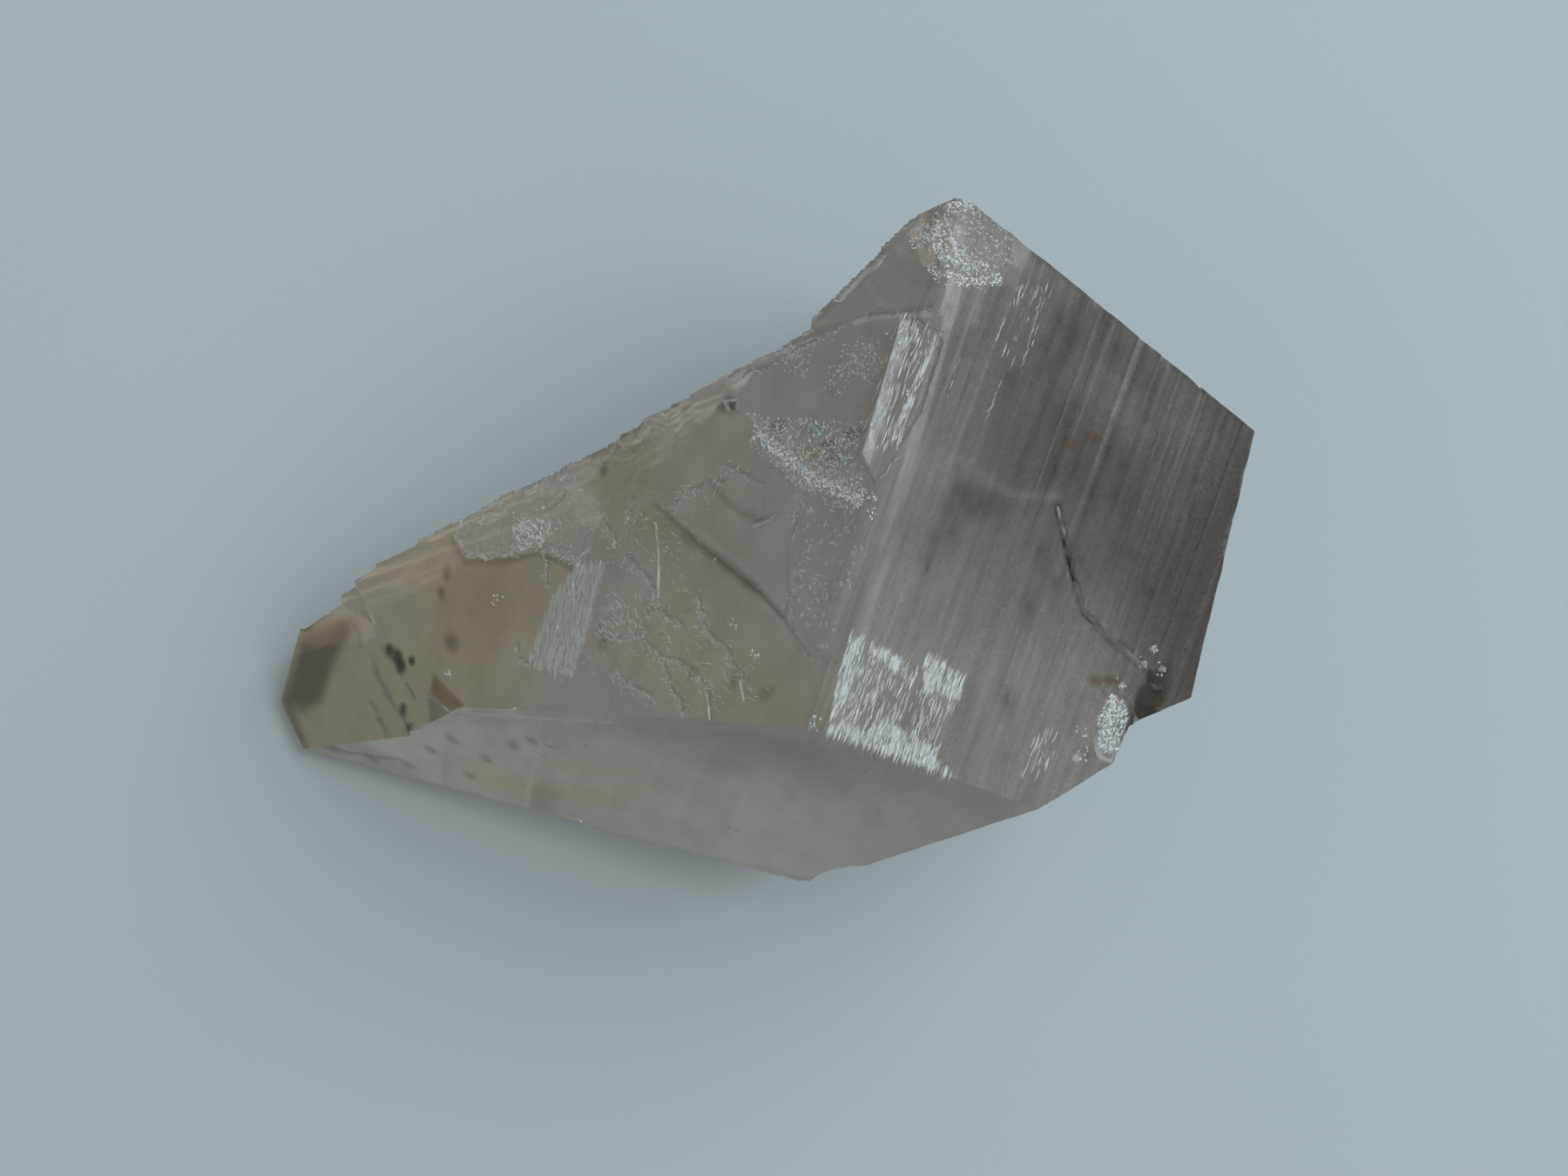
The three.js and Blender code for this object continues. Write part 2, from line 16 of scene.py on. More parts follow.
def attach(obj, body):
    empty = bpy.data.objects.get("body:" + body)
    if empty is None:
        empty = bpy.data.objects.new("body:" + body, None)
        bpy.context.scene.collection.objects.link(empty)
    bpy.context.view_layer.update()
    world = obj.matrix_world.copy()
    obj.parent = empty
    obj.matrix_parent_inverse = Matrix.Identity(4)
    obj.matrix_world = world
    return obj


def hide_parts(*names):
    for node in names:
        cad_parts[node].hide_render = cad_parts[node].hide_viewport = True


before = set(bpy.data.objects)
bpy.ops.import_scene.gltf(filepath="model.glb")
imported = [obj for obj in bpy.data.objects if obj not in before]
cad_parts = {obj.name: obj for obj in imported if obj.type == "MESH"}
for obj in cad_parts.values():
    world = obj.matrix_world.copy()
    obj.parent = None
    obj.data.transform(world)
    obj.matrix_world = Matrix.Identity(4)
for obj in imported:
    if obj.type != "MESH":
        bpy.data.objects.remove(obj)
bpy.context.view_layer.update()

MM = 0.001
CRYSTAL = "smoky_quartz_crystal"

# ---- driving dimensions, mm and degrees
THICKNESS = 36.0  # from the rest face to the big prism face on top
SHOULDER = (6.64, -11.65, THICKNESS)
AXIS_AZIMUTH = 160  # the way the crystal's long axis points
TIP_DIP, TIP_TOWARDS = 32, 165
SIDE_DIP, SIDE_TOWARDS = 62.6, 250.2

# How far apart the points of the fine mesh are, along x and y of each face.
TOP_SPACING = (0.14, 0.3)
TIP_SPACING = (0.2, 0.2)
SIDE_SPACING = (0.35, 0.4)
OTHER_SPACING = (0.6, 0.6)
REST_SPACING = (4.0, 4.0)
WELD = 0.003  # corners closer than this are one
IN_PLANE = 0.99999  # cosine between normals that count as one plane
ON_FACE = 0.8  # cosine between the normals of a flat region and of the face it is part of
NEAR_FACE = 2.5  # how far over or under that face the region may lie
FACES_DOWN = -0.95  # upward part of a normal below which a region is one to rest on
ANY_WAY = (0.31, 0.52, 0.8)  # sets the x axis of the other regions
ROW_STEP = 0.87  # between the net's rows, in spacings: about the height of an even-sided triangle
RIM_CLEARANCE = 0.45  # the least distance from the net to its edges, in spacings
NO_AREA = 1e-5  # smaller triangles than this, in squares of the spacing, are only rounding
FAR = 1e9
SHARP_EDGE = 28  # edges that turn by more than this many degrees are drawn sharp

# Growth lines are ledges across the long axis.
LEDGE_WIDTHS = (0.12, 0.75)
LEDGE_COUNT = 400
FIRST_LEDGE = -60.0

CAMERA_PLACE = (4.74, -2.05, 202.0)
CAMERA_LENS = 55.4
CAMERA_SENSOR = 36.0


def heading(dip, towards):
    """Outward normal of a face that slopes down by dip towards an azimuth."""
    dip, towards = math.radians(dip), math.radians(towards)
    return np.array((
        math.sin(dip) * math.cos(towards),
        math.sin(dip) * math.sin(towards),
        math.cos(dip),
    ))


class Face:
    """A face through the shoulder, with its x and y axes in it and its normal out of the crystal."""

    def __init__(self, normal, along):
        self.normal = normal
        self.y = np.cross(normal, along)
        self.y /= np.linalg.norm(self.y)
        self.x = np.cross(self.y, normal)

    def local(self, points):
        """x, y and height over the face of points in mm."""
        away = points - np.array(SHOULDER)
        return away @ self.x, away @ self.y, away @ self.normal

    def world(self, x, y, height=0.0):
        """The point in metres at x, y and a height over the face."""
        place = np.array(SHOULDER) + x * self.x + y * self.y + height * self.normal
        return Vector(place * MM)


AWAY_FROM_TIP = heading(90, AXIS_AZIMUTH + 180)
TOP = Face(heading(0, 0), AWAY_FROM_TIP)
TIP = Face(heading(TIP_DIP, TIP_TOWARDS), heading(90, TIP_TOWARDS - 90))
SIDE = Face(heading(SIDE_DIP, SIDE_TOWARDS), AWAY_FROM_TIP)


def smooth(low, high, value):
    """0 below low, 1 above high, smooth between them. With low above high it falls."""
    t = np.clip((value - low) / (high - low), 0, 1)
    return t * t * (3 - 2 * t)


# ---- the fine mesh
def spacing_of(centre, normal):
    """How far apart the points of a flat region are along its own x and y, and its x axis."""
    for flat, spacing in ((TOP, TOP_SPACING), (TIP, TIP_SPACING), (SIDE, SIDE_SPACING)):
        if normal @ flat.normal > ON_FACE and abs(flat.local(centre)[2]) < NEAR_FACE:
            return spacing, flat.x
    spacing = REST_SPACING if normal[2] < FACES_DOWN else OTHER_SPACING
    return spacing, np.cross(normal, ANY_WAY)


def welded(node):
    """Corners in mm, triangles and their normals of the node, as one closed surface."""
    bm = bmesh.new()
    bm.from_mesh(node.data)
    bmesh.ops.remove_doubles(bm, verts=bm.verts, dist=WELD * MM)
    bmesh.ops.dissolve_degenerate(bm, dist=WELD * MM, edges=bm.edges)
    bmesh.ops.triangulate(bm, faces=[f for f in bm.faces if len(f.verts) > 3])
    bm.normal_update()
    points = np.array([v.co[:] for v in bm.verts]) / MM
    faces = np.array([[v.index for v in f.verts] for f in bm.faces])
    normals = np.array([f.normal[:] for f in bm.faces])
    bm.free()
    return points, faces, normals


def flat_regions(faces, normals):
    """The triangles of each flat region, the triangles at each edge, and each triangle's region."""
    at_edge = {}
    for i, corners in enumerate(faces):
        for a, b in zip(corners, np.roll(corners, -1)):
            at_edge.setdefault((min(a, b), max(a, b)), []).append(i)
    parent = list(range(len(faces)))

    def root(i):
        while parent[i] != i:
            parent[i] = parent[parent[i]]
            i = parent[i]
        return i

    for pair in at_edge.values():
        if len(pair) == 2 and normals[pair[0]] @ normals[pair[1]] > IN_PLANE:
            parent[root(pair[0])] = root(pair[1])
    regions = {}
    for i in range(len(faces)):
        regions.setdefault(root(i), []).append(i)
    return regions, at_edge, [root(i) for i in range(len(faces))]


def edges_of(route, closed=False):
    """The straight edges between the points of a route, or all around an outline."""
    after = [*route[1:], route[0]] if closed else route[1:]
    return list(zip(route, after))


def distance_to(edges, x, y):
    """How far places are from the nearest of the edges."""
    nearest = np.full(len(x), FAR)
    for (x0, y0), (x1, y1) in edges:
        dx, dy = x1 - x0, y1 - y0
        t = np.clip(((x - x0) * dx + (y - y0) * dy) / (dx * dx + dy * dy), 0, 1)
        nearest = np.minimum(nearest, np.hypot(x - x0 - t * dx, y - y0 - t * dy))
    return nearest


def inside_of(edges, x, y):
    """Which places the edges close in."""
    inside = np.zeros(len(x), bool)
    for (x0, y0), (x1, y1) in edges:
        if y0 != y1:
            crosses = (y0 > y) != (y1 > y)
            inside ^= crosses & (x < x0 + (y - y0) / (y1 - y0) * (x1 - x0))
    return inside


def plan_of(corners, faces, normals):
    """A flat region's middle, and its two axes, scaled so that a step of 1 is one spacing."""
    areas = [
        np.linalg.norm(np.cross(corners[b] - corners[a], corners[c] - corners[a]))
        for a, b, c in faces
    ]
    normal = normals[int(np.argmax(areas))]
    centre = corners[faces].mean((0, 1))
    spacing, x = spacing_of(centre, normal)
    x = x - normal * (x @ normal)
    x = x / np.linalg.norm(x)
    return centre, np.stack([x / spacing[0], np.cross(normal, x) / spacing[1]], 1)


def net_inside(edges, rim):
    """Points in rows, every second row shifted by half a step, inside the edges and clear of them."""
    low, high = rim.min(0), rim.max(0)
    columns = np.arange(math.ceil(low[0]), high[0])
    rows = np.arange(math.ceil(low[1]), high[1], ROW_STEP)
    net = np.array([(x + 0.5 * (j % 2), y) for j, y in enumerate(rows) for x in columns])
    if not len(net):
        return np.zeros((0, 2))
    return net[inside_of(edges, *net.T) & (distance_to(edges, *net.T) > RIM_CLEARANCE)]


def triangles_inside(edges, rim, inner, sides):
    """Triangles between the rim and inner points, as indices of both together."""
    flat = [Vector(v) for v in (*rim, *inner)]
    spots, _, cells, origin, _, _ = delaunay_2d_cdt(flat, sides, [], 0, 1e-6)
    shapes = np.array([[spots[i] for i in cell] for cell in cells])
    first, second = shapes[:, 1] - shapes[:, 0], shapes[:, 2] - shapes[:, 0]
    area = np.abs(first[:, 0] * second[:, 1] - first[:, 1] * second[:, 0])
    kept = inside_of(edges, *shapes.mean(1).T) & (area > NO_AREA)
    return [[origin[i][0] for i in cells[k]] for k in np.flatnonzero(kept)]


def refined(node):
    """The node's surface with the same edges, and a fine net of triangles inside each flat region."""
    corners, faces, normals = welded(node)
    regions, at_edge, region_of = flat_regions(faces, normals)
    plans = {key: plan_of(corners, faces[members], normals[members]) for key, members in regions.items()}
    chains_of = {key: [] for key in regions}
    points = list(corners)
    for (a, b), touching in at_edge.items():
        homes = {region_of[i] for i in touching}
        if len(homes) < 2:
            continue
        run = corners[b] - corners[a]
        pieces = max(1, *(math.ceil(np.linalg.norm(run @ plans[home][1])) for home in homes))
        chain = [a, *range(len(points), len(points) + pieces - 1), b]
        points += [corners[a] + run * i / pieces for i in range(1, pieces)]
        for home in homes:
            chains_of[home].append(chain)
    made = []
    for key, (centre, axes) in plans.items():
        chains = chains_of[key]
        used = sorted({i for chain in chains for i in chain})
        place = {i: k for k, i in enumerate(used)}
        rim = (np.array([points[i] for i in used]) - centre) @ axes
        edges = [(rim[place[chain[0]]], rim[place[chain[-1]]]) for chain in chains]
        sides = [(place[a], place[b]) for chain in chains for a, b in zip(chain, chain[1:])]
        inner = net_inside(edges, rim)
        used += range(len(points), len(points) + len(inner))
        # from steps along the two axes, which are at right angles, back to a point in space
        for spot in inner:
            steps = (v * axes[:, k] / (axes[:, k] @ axes[:, k]) for k, v in enumerate(spot))
            points.append(centre + sum(steps))
        made += [[used[i] for i in cell] for cell in triangles_inside(edges, rim, inner, sides)]
    mesh = bpy.data.meshes.new("crystal_mesh")
    mesh.from_pydata(np.array(points) * MM, [], made)
    mesh.update()
    return mesh


def array_of(collection, name, width):
    """One property of all members of a mesh's collection, as rows of that width."""
    found = np.empty(len(collection) * width, np.float32)
    collection.foreach_get(name, found)
    return found.reshape(-1, width).astype(np.float64)


def noise_of(points, size, seed=0):
    """Smooth noise between -1 and 1 at points in mm, with bumps of about that size."""
    shift = Vector((17.3 * seed, -9.1 * seed, 5.7 * seed))
    return np.array([noise.noise(Vector(p) / size + shift) for p in points])


def growth_profile(distance, seed):
    """Heights of the fine growth lines at distances along the long axis, between 0 and 1."""
    random = np.random.default_rng(seed)
    edges = np.cumsum(random.uniform(*LEDGE_WIDTHS, LEDGE_COUNT)) + FIRST_LEDGE
    levels = random.uniform(0, 1, LEDGE_COUNT + 1)
    return levels[np.searchsorted(edges, distance)]


BRUISE_MIDDLE = (-1.0, 35.6)
CHIP_MIDDLE = (19.2, 7.0)
CRUSH_DEPTH = 0.09

BREAK_BUMPS = (0.07, 0.035)  # height of the coarse and the fine bumps on broken and hidden faces
FACE_RELIEF = [  # face, lean and height that belong to it, then coarse bumps, fine bumps, growth lines
    (TOP, (0.85, 0.97), (-1.5, -0.8), 0.008, 0.0, 0.03),
    (TIP, (0.8, 0.95), (-2.2, -1.2), 0.028, 0.02, 0.0),
    (SIDE, (0.8, 0.95), (-2.2, -1.2), 0.02, 0.0, 0.008),
]

# The broken corner behind the bruise: the way it faces, the way its ledges follow, and their depth
BACK = np.array((-0.62, 0.78, 0))
ALONG_BACK = np.array((0.78, 0.62, 0))
BACK_LEDGE = 0.9


def crush_share(points):
    """How far places on top belong to the bruised far corner or to the chip beside the pit."""
    x, y, height = TOP.local(points)
    bruise = smooth(4.2, 2.6, np.hypot(x - BRUISE_MIDDLE[0], y - BRUISE_MIDDLE[1]))
    chip = smooth(2.6, 1.6, np.hypot(x - CHIP_MIDDLE[0], y - CHIP_MIDDLE[1]))
    return np.maximum(bruise, chip) * smooth(-2.5, -1.5, height)


def roughen(mesh):
    """Moves the fine mesh a little: growth lines, scales and the grain of the break."""
    points = array_of(mesh.vertices, "co", 3) / MM
    normals = array_of(mesh.vertices, "normal", 3)
    coarse = noise_of(points, 2.2, 1)
    fine = noise_of(points, 0.7, 2)
    lines = growth_profile(points @ AWAY_FROM_TIP + 0.05 * coarse, 4) - 0.5
    move = BREAK_BUMPS[0] * coarse + BREAK_BUMPS[1] * fine
    for face, lean, depth, coarse_bumps, fine_bumps, growth in FACE_RELIEF:
        share = smooth(*lean, normals @ face.normal) * smooth(*depth, face.local(points)[2])
        relief = coarse_bumps * coarse + fine_bumps * fine + growth * lines
        move = move * (1 - share) + share * relief
    crushed = crush_share(points)
    on_back = smooth(0.7, 0.85, normals @ BACK) * smooth(12, 22, points[:, 2])
    move -= on_back * BACK_LEDGE * growth_profile(0.3 * (points @ ALONG_BACK), 12)
    move += crushed * CRUSH_DEPTH * (noise_of(points, 0.45, 3) + 0.6 * noise_of(points, 0.2, 8))
    move *= smooth(0.2, 1.2, points[:, 2])  # what the crystal rests on stays flat
    points += normals * move[:, None]

    # what stands out of the tip face, or is crushed on the top face, is pressed flatter
    for face, flatter in ((TIP, 0.5), (TOP, 0.65 * crushed)):
        height = face.local(points)[2]
        near = smooth(-1.2, -0.6, height) * smooth(0.9, 0.5, height)
        near *= smooth(0.25, 0.55, normals @ face.normal)
        points -= face.normal * (height * (near * flatter))[:, None]
    mesh.vertices.foreach_set("co", (points * MM).astype(np.float32).ravel())
    mesh.update()


# ---- painting on the faces
def linear(red, green, blue):
    """An 8-bit display colour as linear numbers."""
    display = np.array((red, green, blue)) / 255
    return np.where(display <= 0.04045, display / 12.92, ((display + 0.055) / 1.055) ** 2.4)


class Canvas:
    """Layers at every corner of the mesh, painted face by face.

    They are its colour (stains, and painted light and shade), how dull it is, its frost (crushed stone,
    and painted glints and highlights) and its share of growth lines.
    """

    def __init__(self, mesh):
        vertex = np.empty(len(mesh.loops), np.int32)
        mesh.loops.foreach_get("vertex_index", vertex)
        points = array_of(mesh.vertices, "co", 3) / MM
        wobble = np.stack([noise_of(points, 1.1, 5), noise_of(points, 1.1, 6)], 1)
        self.points = points[vertex]
        self.wobble = wobble[vertex]
        self.normals = np.repeat(array_of(mesh.polygons, "normal", 3), 3, axis=0)
        count = len(vertex)
        self.colour = np.tile(BODY, (count, 1))
        self.dull = np.full(count, BODY_DULLNESS)
        self.frost_and_glints = np.zeros(count)
        self.lines = np.zeros(count)

    def on(self, face, least=0.94, depth=2.0):
        """Starts painting on a face: keeps its coordinates and how far each corner belongs to it."""
        self.x, self.y, height = face.local(self.points)
        self.share = smooth(least - 0.02, least + 0.02, self.normals @ face.normal)
        self.share *= smooth(-depth - 0.6, -depth + 0.4, height)

    def on_seen(self, face):
        """Starts painting on all that looks up, at the places of a face that it hides from above."""
        eye = np.array(CAMERA_PLACE)
        way = self.points - eye
        reach = ((np.array(SHOULDER) - eye) @ face.normal) / (way @ face.normal)
        self.x, self.y, _ = face.local(eye + way * reach[:, None])
        self.share = smooth(0.05, 0.25, self.normals[:, 2])

    def relief(self, face):
        """The small slopes on a face: the sides of its plates and grooves."""
        height = face.local(self.points)[2]
        lean = self.normals @ face.normal
        return smooth(0.5, 0.7, lean) * smooth(-0.9, -0.6, height) * smooth(0.6, 0.4, height)

    def blob(self, x, y, wide, high, turn=0.0, soft=0.4):
        """An ellipse with soft, uneven edges: wide and high are half of its size."""
        c, s = math.cos(math.radians(turn)), math.sin(math.radians(turn))
        dx = self.x - x + 0.25 * self.wobble[:, 0] * min(1, wide)
        dy = self.y - y + 0.25 * self.wobble[:, 1] * min(1, high)
        across, up = (dx * c + dy * s) / wide, (dy * c - dx * s) / high
        return self.share * smooth(1 + soft, 1 - soft, np.hypot(across, up))

    def wandered(self, wander):
        """The places, shifted a little unevenly, so that no painted edge is quite straight."""
        return self.x + wander * self.wobble[:, 0], self.y + wander * self.wobble[:, 1]

    def line(self, route, width, soft=0.12, wander=0.1):
        """A line along a route."""
        apart = distance_to(edges_of(route), *self.wandered(wander))
        return self.share * smooth(width / 2 + soft, width / 2 - soft, apart)

    def patch(self, outline, soft=0.25, wander=0.15):
        """The inside of an outline."""
        edges = edges_of(outline, closed=True)
        places = self.wandered(wander)
        apart = distance_to(edges, *places) * np.where(inside_of(edges, *places), -1, 1)
        return self.share * smooth(soft, -soft, apart)

    def paint(self, mask, colour, strength=1.0, dull=None):
        """Mixes a colour, and a dullness, into what is painted already."""
        mask = mask * strength
        self.colour += (colour - self.colour) * mask[:, None]
        if dull is not None:
            self.dull += (dull - self.dull) * mask

    def tones(self, table):
        """Paints the ellipses of a table, one over the other."""
        for ellipse, colour, strength in table:
            self.paint(self.blob(*ellipse), colour, strength)

    def spots(self, places, shape, colour, strength):
        """Paints ellipses of one shape (half width, half height, turn, softness) at places."""
        self.tones(((*place, *shape), colour, strength) for place in places)

    def add_frost_and_glints(self, mask, amount):
        """Crushed stone, which scatters white light, and painted glints and highlights, laid the same
        way.
        """
        self.frost_and_glints = np.maximum(self.frost_and_glints, mask * amount)

    def put(self, mesh):
        """Writes the layers to the mesh for its material to read."""
        rgba = np.concatenate([self.colour, np.ones((len(self.colour), 1))], 1)
        colour_and_painted_light = mesh.color_attributes.new("colour_and_painted_light", "FLOAT_COLOR", "CORNER")
        colour_and_painted_light.data.foreach_set("color", rgba.astype(np.float32).ravel())
        for name, values in (("dull", self.dull), ("frost_and_glints", self.frost_and_glints), ("lines", self.lines)):
            layer = mesh.attributes.new(name, "FLOAT", "CORNER")
            layer.data.foreach_set("value", values.astype(np.float32))


# Paint. It tints the light that passes in and out, so what is clear is nearly white.
BODY_DULLNESS = 0.14
TIP_SHARE_ON_RELIEF = 0.9
BODY = linear(236, 232, 226)
GREY = linear(234, 232, 229)
DARK = linear(108, 104, 98)
PALE = linear(250, 250, 249)
TAN = linear(252, 236, 196)
PALE_TAN = linear(244, 236, 218)
SOFT = linear(242, 239, 232)
OCHRE = linear(170, 126, 72)
BROWN = linear(118, 96, 70)
RUST = linear(136, 84, 36)
BLACK = linear(34, 30, 24)
SIDE_GREY = linear(255, 252, 244)
YELLOW = linear(255, 242, 172)
PIT_SHADE = linear(60, 60, 46)
WHITE = linear(255, 255, 255)
# The slivers are white stone too, duller where they are thin.
SHINING = linear(212, 220, 222)
GLINT = linear(182, 186, 184)
FAINT = linear(150, 151, 144)

# Places on the faces, in millimetres in each face's own coordinates. First the top face: painted light
# and shade, lighter at the front and darker towards the far right, each an ellipse (x, y, half width,
# half height, turn, softness) with its colour and strength.
TOP_LIGHT_AND_SHADE = [
    ((12, 4, 15, 8, 10, 0.7), PALE, 0.4),
    ((2, 5, 4, 10, 0, 0.6), PALE, 0.4),
    ((1.5, 24, 3, 6, 0, 0.6), PALE, 0.7),
    ((11, 18, 10, 7, 0, 0.8), DARK, 0.45),
    ((14, 28, 15, 10, -18, 0.6), DARK, 0.68),
    ((22.5, 20, 6, 15, 5, 0.7), DARK, 0.95),
    ((13, 24, 5, 2.5, -20, 0.8), DARK, 0.3),
    ((11, 30, 3, 4, -20, 0.8), DARK, 0.3),
    ((6.8, 30.5, 1.5, 3, -20, 0.8), DARK, 0.3),
    ((9, 23, 4, 3, -20, 0.8), DARK, 0.3),
]
# The first five patches, near the shoulder, are white as painted highlights of light reflected inside
# the crystal.
STREAK_PATCHES = [  # outline, and how densely its slivers lie; the first five are frosted as well
    ([(0.3, 6.9), (1.4, 7.1), (1.6, 4.5), (1.5, 1.8), (1, 1), (0.5, 3.7)], 9),
    ([(1.8, 6.8), (3, 6.7), (4.2, 6.4), (4.4, 5.6), (3.7, 5.8), (2.1, 6.2)], 12),
    ([(5.6, 7.3), (7.2, 7.2), (7.4, 5.3), (6.4, 5.1)], 16),
    ([(7.4, 7.1), (8.7, 6.7), (9, 5), (8.3, 5.2), (7.5, 5.2)], 9),
    ([(0.8, 0.1), (2, 1.1), (3.7, 1.1), (4.6, 2.3), (5.7, 1.8), (7.9, 1.8), (8.9, 0.8),
      (10.3, 0.1)], 9),
    ([(1.6, 5.6), (5.6, 6.8), (5.6, 2), (4.6, 2.2), (3.7, 1.1), (1.7, 1.2)], 2.2),
    ([(5.8, 5), (8.9, 4.8), (8.7, 1.2), (6, 1.8)], 1.8),
    ([(-4, 29), (-1, 28.4), (-1, 19.9), (-3.6, 19.4)], 1.7),
    ([(-1.5, 27.6), (-1, 27.6), (-1.1, 20.4), (-1.6, 20.4)], 6),
    ([(2.6, 33.5), (5.3, 34.2), (5.5, 27.9), (2.6, 29)], 0.3),
    ([(14.6, 5.4), (16.3, 5.4), (16.3, 1.8), (14.6, 1.8)], 1.2),
]
STREAK_LINES = [
    [(2.6, 6.2), (2.5, 4.4), (2.6, 1.8)], [(4.7, 7), (5.1, 2.7)], [(2, 5.8), (2, 2.2)],
    [(3.1, 33.5), (2.8, 29.9)], [(4.6, 34.3), (5.2, 27.9)], [(4.1, 26.8), (4, 23.9)],
    [(0.9, 27.3), (1, 24.5)], [(15.5, 5.2), (15.8, 2.2)], [(-0.9, 19.3), (-1.3, 17.8)],
]
BRUISE_ARCS = [  # route, and width of the crushed band along it
    ([(-4.9, 33.7), (-4.1, 34.7), (-3.3, 34.3), (-2.3, 33.4), (-1.6, 33.5), (-0.4, 33.4),
      (0.8, 34)], 0.7),
    ([(-4.6, 34.6), (-3.9, 35.4), (-2.9, 35.2)], 0.8),
    ([(-2.5, 35), (-1.8, 34.2), (-0.5, 33.7)], 0.5),
    ([(-3.5, 36.8), (-2.8, 37.4), (-1.8, 37.4)], 0.4),
    ([(-3.3, 32.4), (-1.4, 32.4), (-0.1, 32.6), (1.7, 33.5)], 0.5),
]
BRUISE = [(-4.6, 33.6), (-1, 33), (2.2, 34.6), (1.6, 36.6), (-1.6, 37.8), (-4.4, 36.6)]
CHIP = [(18.6, 9.2), (19.7, 9), (20.3, 7.8), (20.4, 5.4), (19.1, 5.3), (18.3, 7.3)]
# sparkles: painted glints, laid as frost and shining slivers
TOP_SPARKLES = [
    (-1.2, 25.8), (-1.7, 24), (-3.7, 27.3), (-3.4, 21), (-2.7, 28.1), (-2.3, 16.4), (-1.4, 16.3),
    (-1.3, 15.3), (9.8, 34.2), (17.1, 31.4), (0.1, 0.1), (-0.2, 0.5), (17.7, 6.1), (18.3, 4.7),
    (19, 10), (20, 11.9), (21.3, 12), (20.3, 13.1),
]

# The big tip face: its soft tones, the rims of plates and fractures with their painted highlights and
# shadows, and what lies between them
TIP_TONES = [
    ((3, 30, 9, 7, 0, 0.5), TAN, 0.95),
    ((-2, 38, 7, 6, 0, 0.6), TAN, 0.7),
    ((14.5, 17.5, 5, 7, 30, 0.5), TAN, 0.95),
    ((1.5, 9, 3.2, 9, -8, 0.5), TAN, 0.8),
    ((5, 13.5, 2.5, 3, -20, 0.6), TAN, 0.6),
    ((17, 14, 7, 12, 0, 0.8), SOFT, 0.7),
    ((2, 6, 4, 8, -10, 0.8), PALE_TAN, 0.5),
    ((9, 12.5, 3, 5, -20, 0.7), OCHRE, 0.25),
    ((14, 21, 5, 2.5, 60, 0.7), OCHRE, 0.25),
    ((2, 31, 4, 4, 0, 0.8), OCHRE, 0.22),
]
TIP_RIMS = [
    [(6.5, 11.9), (5.4, 11.4), (4.3, 10.6), (3.5, 8.6), (2.3, 7.4), (1.8, 6.2)],
    [(2.4, 15.4), (1.7, 13.9), (1.6, 12), (1.3, 10.4), (0.4, 9.1), (-0.7, 8.5), (-1.7, 8.3)],
    [(1.5, 13.7), (0.5, 12.7), (-0.4, 12), (-1.1, 11), (-2, 10.4)],
    [(-0.1, 16.9), (-0.9, 16.2), (-1.2, 14.5), (-1.3, 13.5)],
    [(11.4, 22.8), (10, 21.9), (9, 20.4), (8.3, 20.2)],
    [(6.6, 26.5), (5.7, 25.7), (4.7, 25.6), (4.2, 24.9)],
    [(-0.6, 26.6), (-1.5, 26), (-1.8, 25), (-1, 24)],
    [(-1.7, 22.4), (-1.1, 21.3), (-1.5, 20.8)],
    [(12, 16.3), (13.6, 15.1), (14.8, 13.2), (14.8, 12.4)],
    [(15.9, 12.9), (16, 11.7), (15.4, 10.3), (15.3, 9.1)],
    [(12, 19.8), (11, 19.6), (10.2, 19.4)],
    [(15.4, 5.6), (13.2, 5.8)],
    [(9.3, 4.2), (7.9, 4.7), (6.5, 4.4)],
    [(2.4, 19.7), (1.9, 18.9), (2, 17.2), (2.7, 15.8), (3.4, 15.3)],
    [(7.9, 19), (7.1, 17.2), (6.2, 15.8), (5, 15.1), (4.1, 15.9), (4.7, 14.9), (4.3, 13.3),
     (4.1, 12.6)],
    [(22.9, 12.7), (23.4, 11.5), (25.7, 8.3), (27.6, 6)],
]
CLEAR_CHIP = [  # the chip at the back; its first points run along its front
    (6.2, 35), (5, 33.4), (5.3, 31.5), (5.9, 29.3), (6.9, 27.1), (6.9, 25.3), (6.6, 23.2),
    (7.8, 22.3), (10.4, 22.5), (12.7, 24.3), (13.1, 26.7), (12.1, 28.4), (10.4, 30.9), (8.3, 34.3),
]
CHIP_FRONT = CLEAR_CHIP[:7]
BRIGHT_SPOT = [(7.8, 29.7), (8.9, 28.3), (8.8, 26.3), (7.4, 26.8), (6.5, 28.5)]  # in the clear chip
FRACTURE = [  # under the back corner
    (20.2, 12), (20.2, 9.8), (20.9, 6.5), (21.1, 2.8), (19.4, 1.9), (16, 0.6), (16.6, 4.5),
    (18.1, 8.5), (19, 11.1),
]
BOW = [  # the bright line at its front
    (18.9, 10.8), (18.6, 10), (18.1, 8.5), (17.2, 6.5), (16.7, 5.2), (16.4, 3.8), (16.2, 2.2),
    (15.9, 0.7),
]
FROST_SPOTS = [(26.1, 3.7), (24.5, 8.9), (23.8, 5.2), (25.4, 4.7), (24.9, 3)]  # behind it
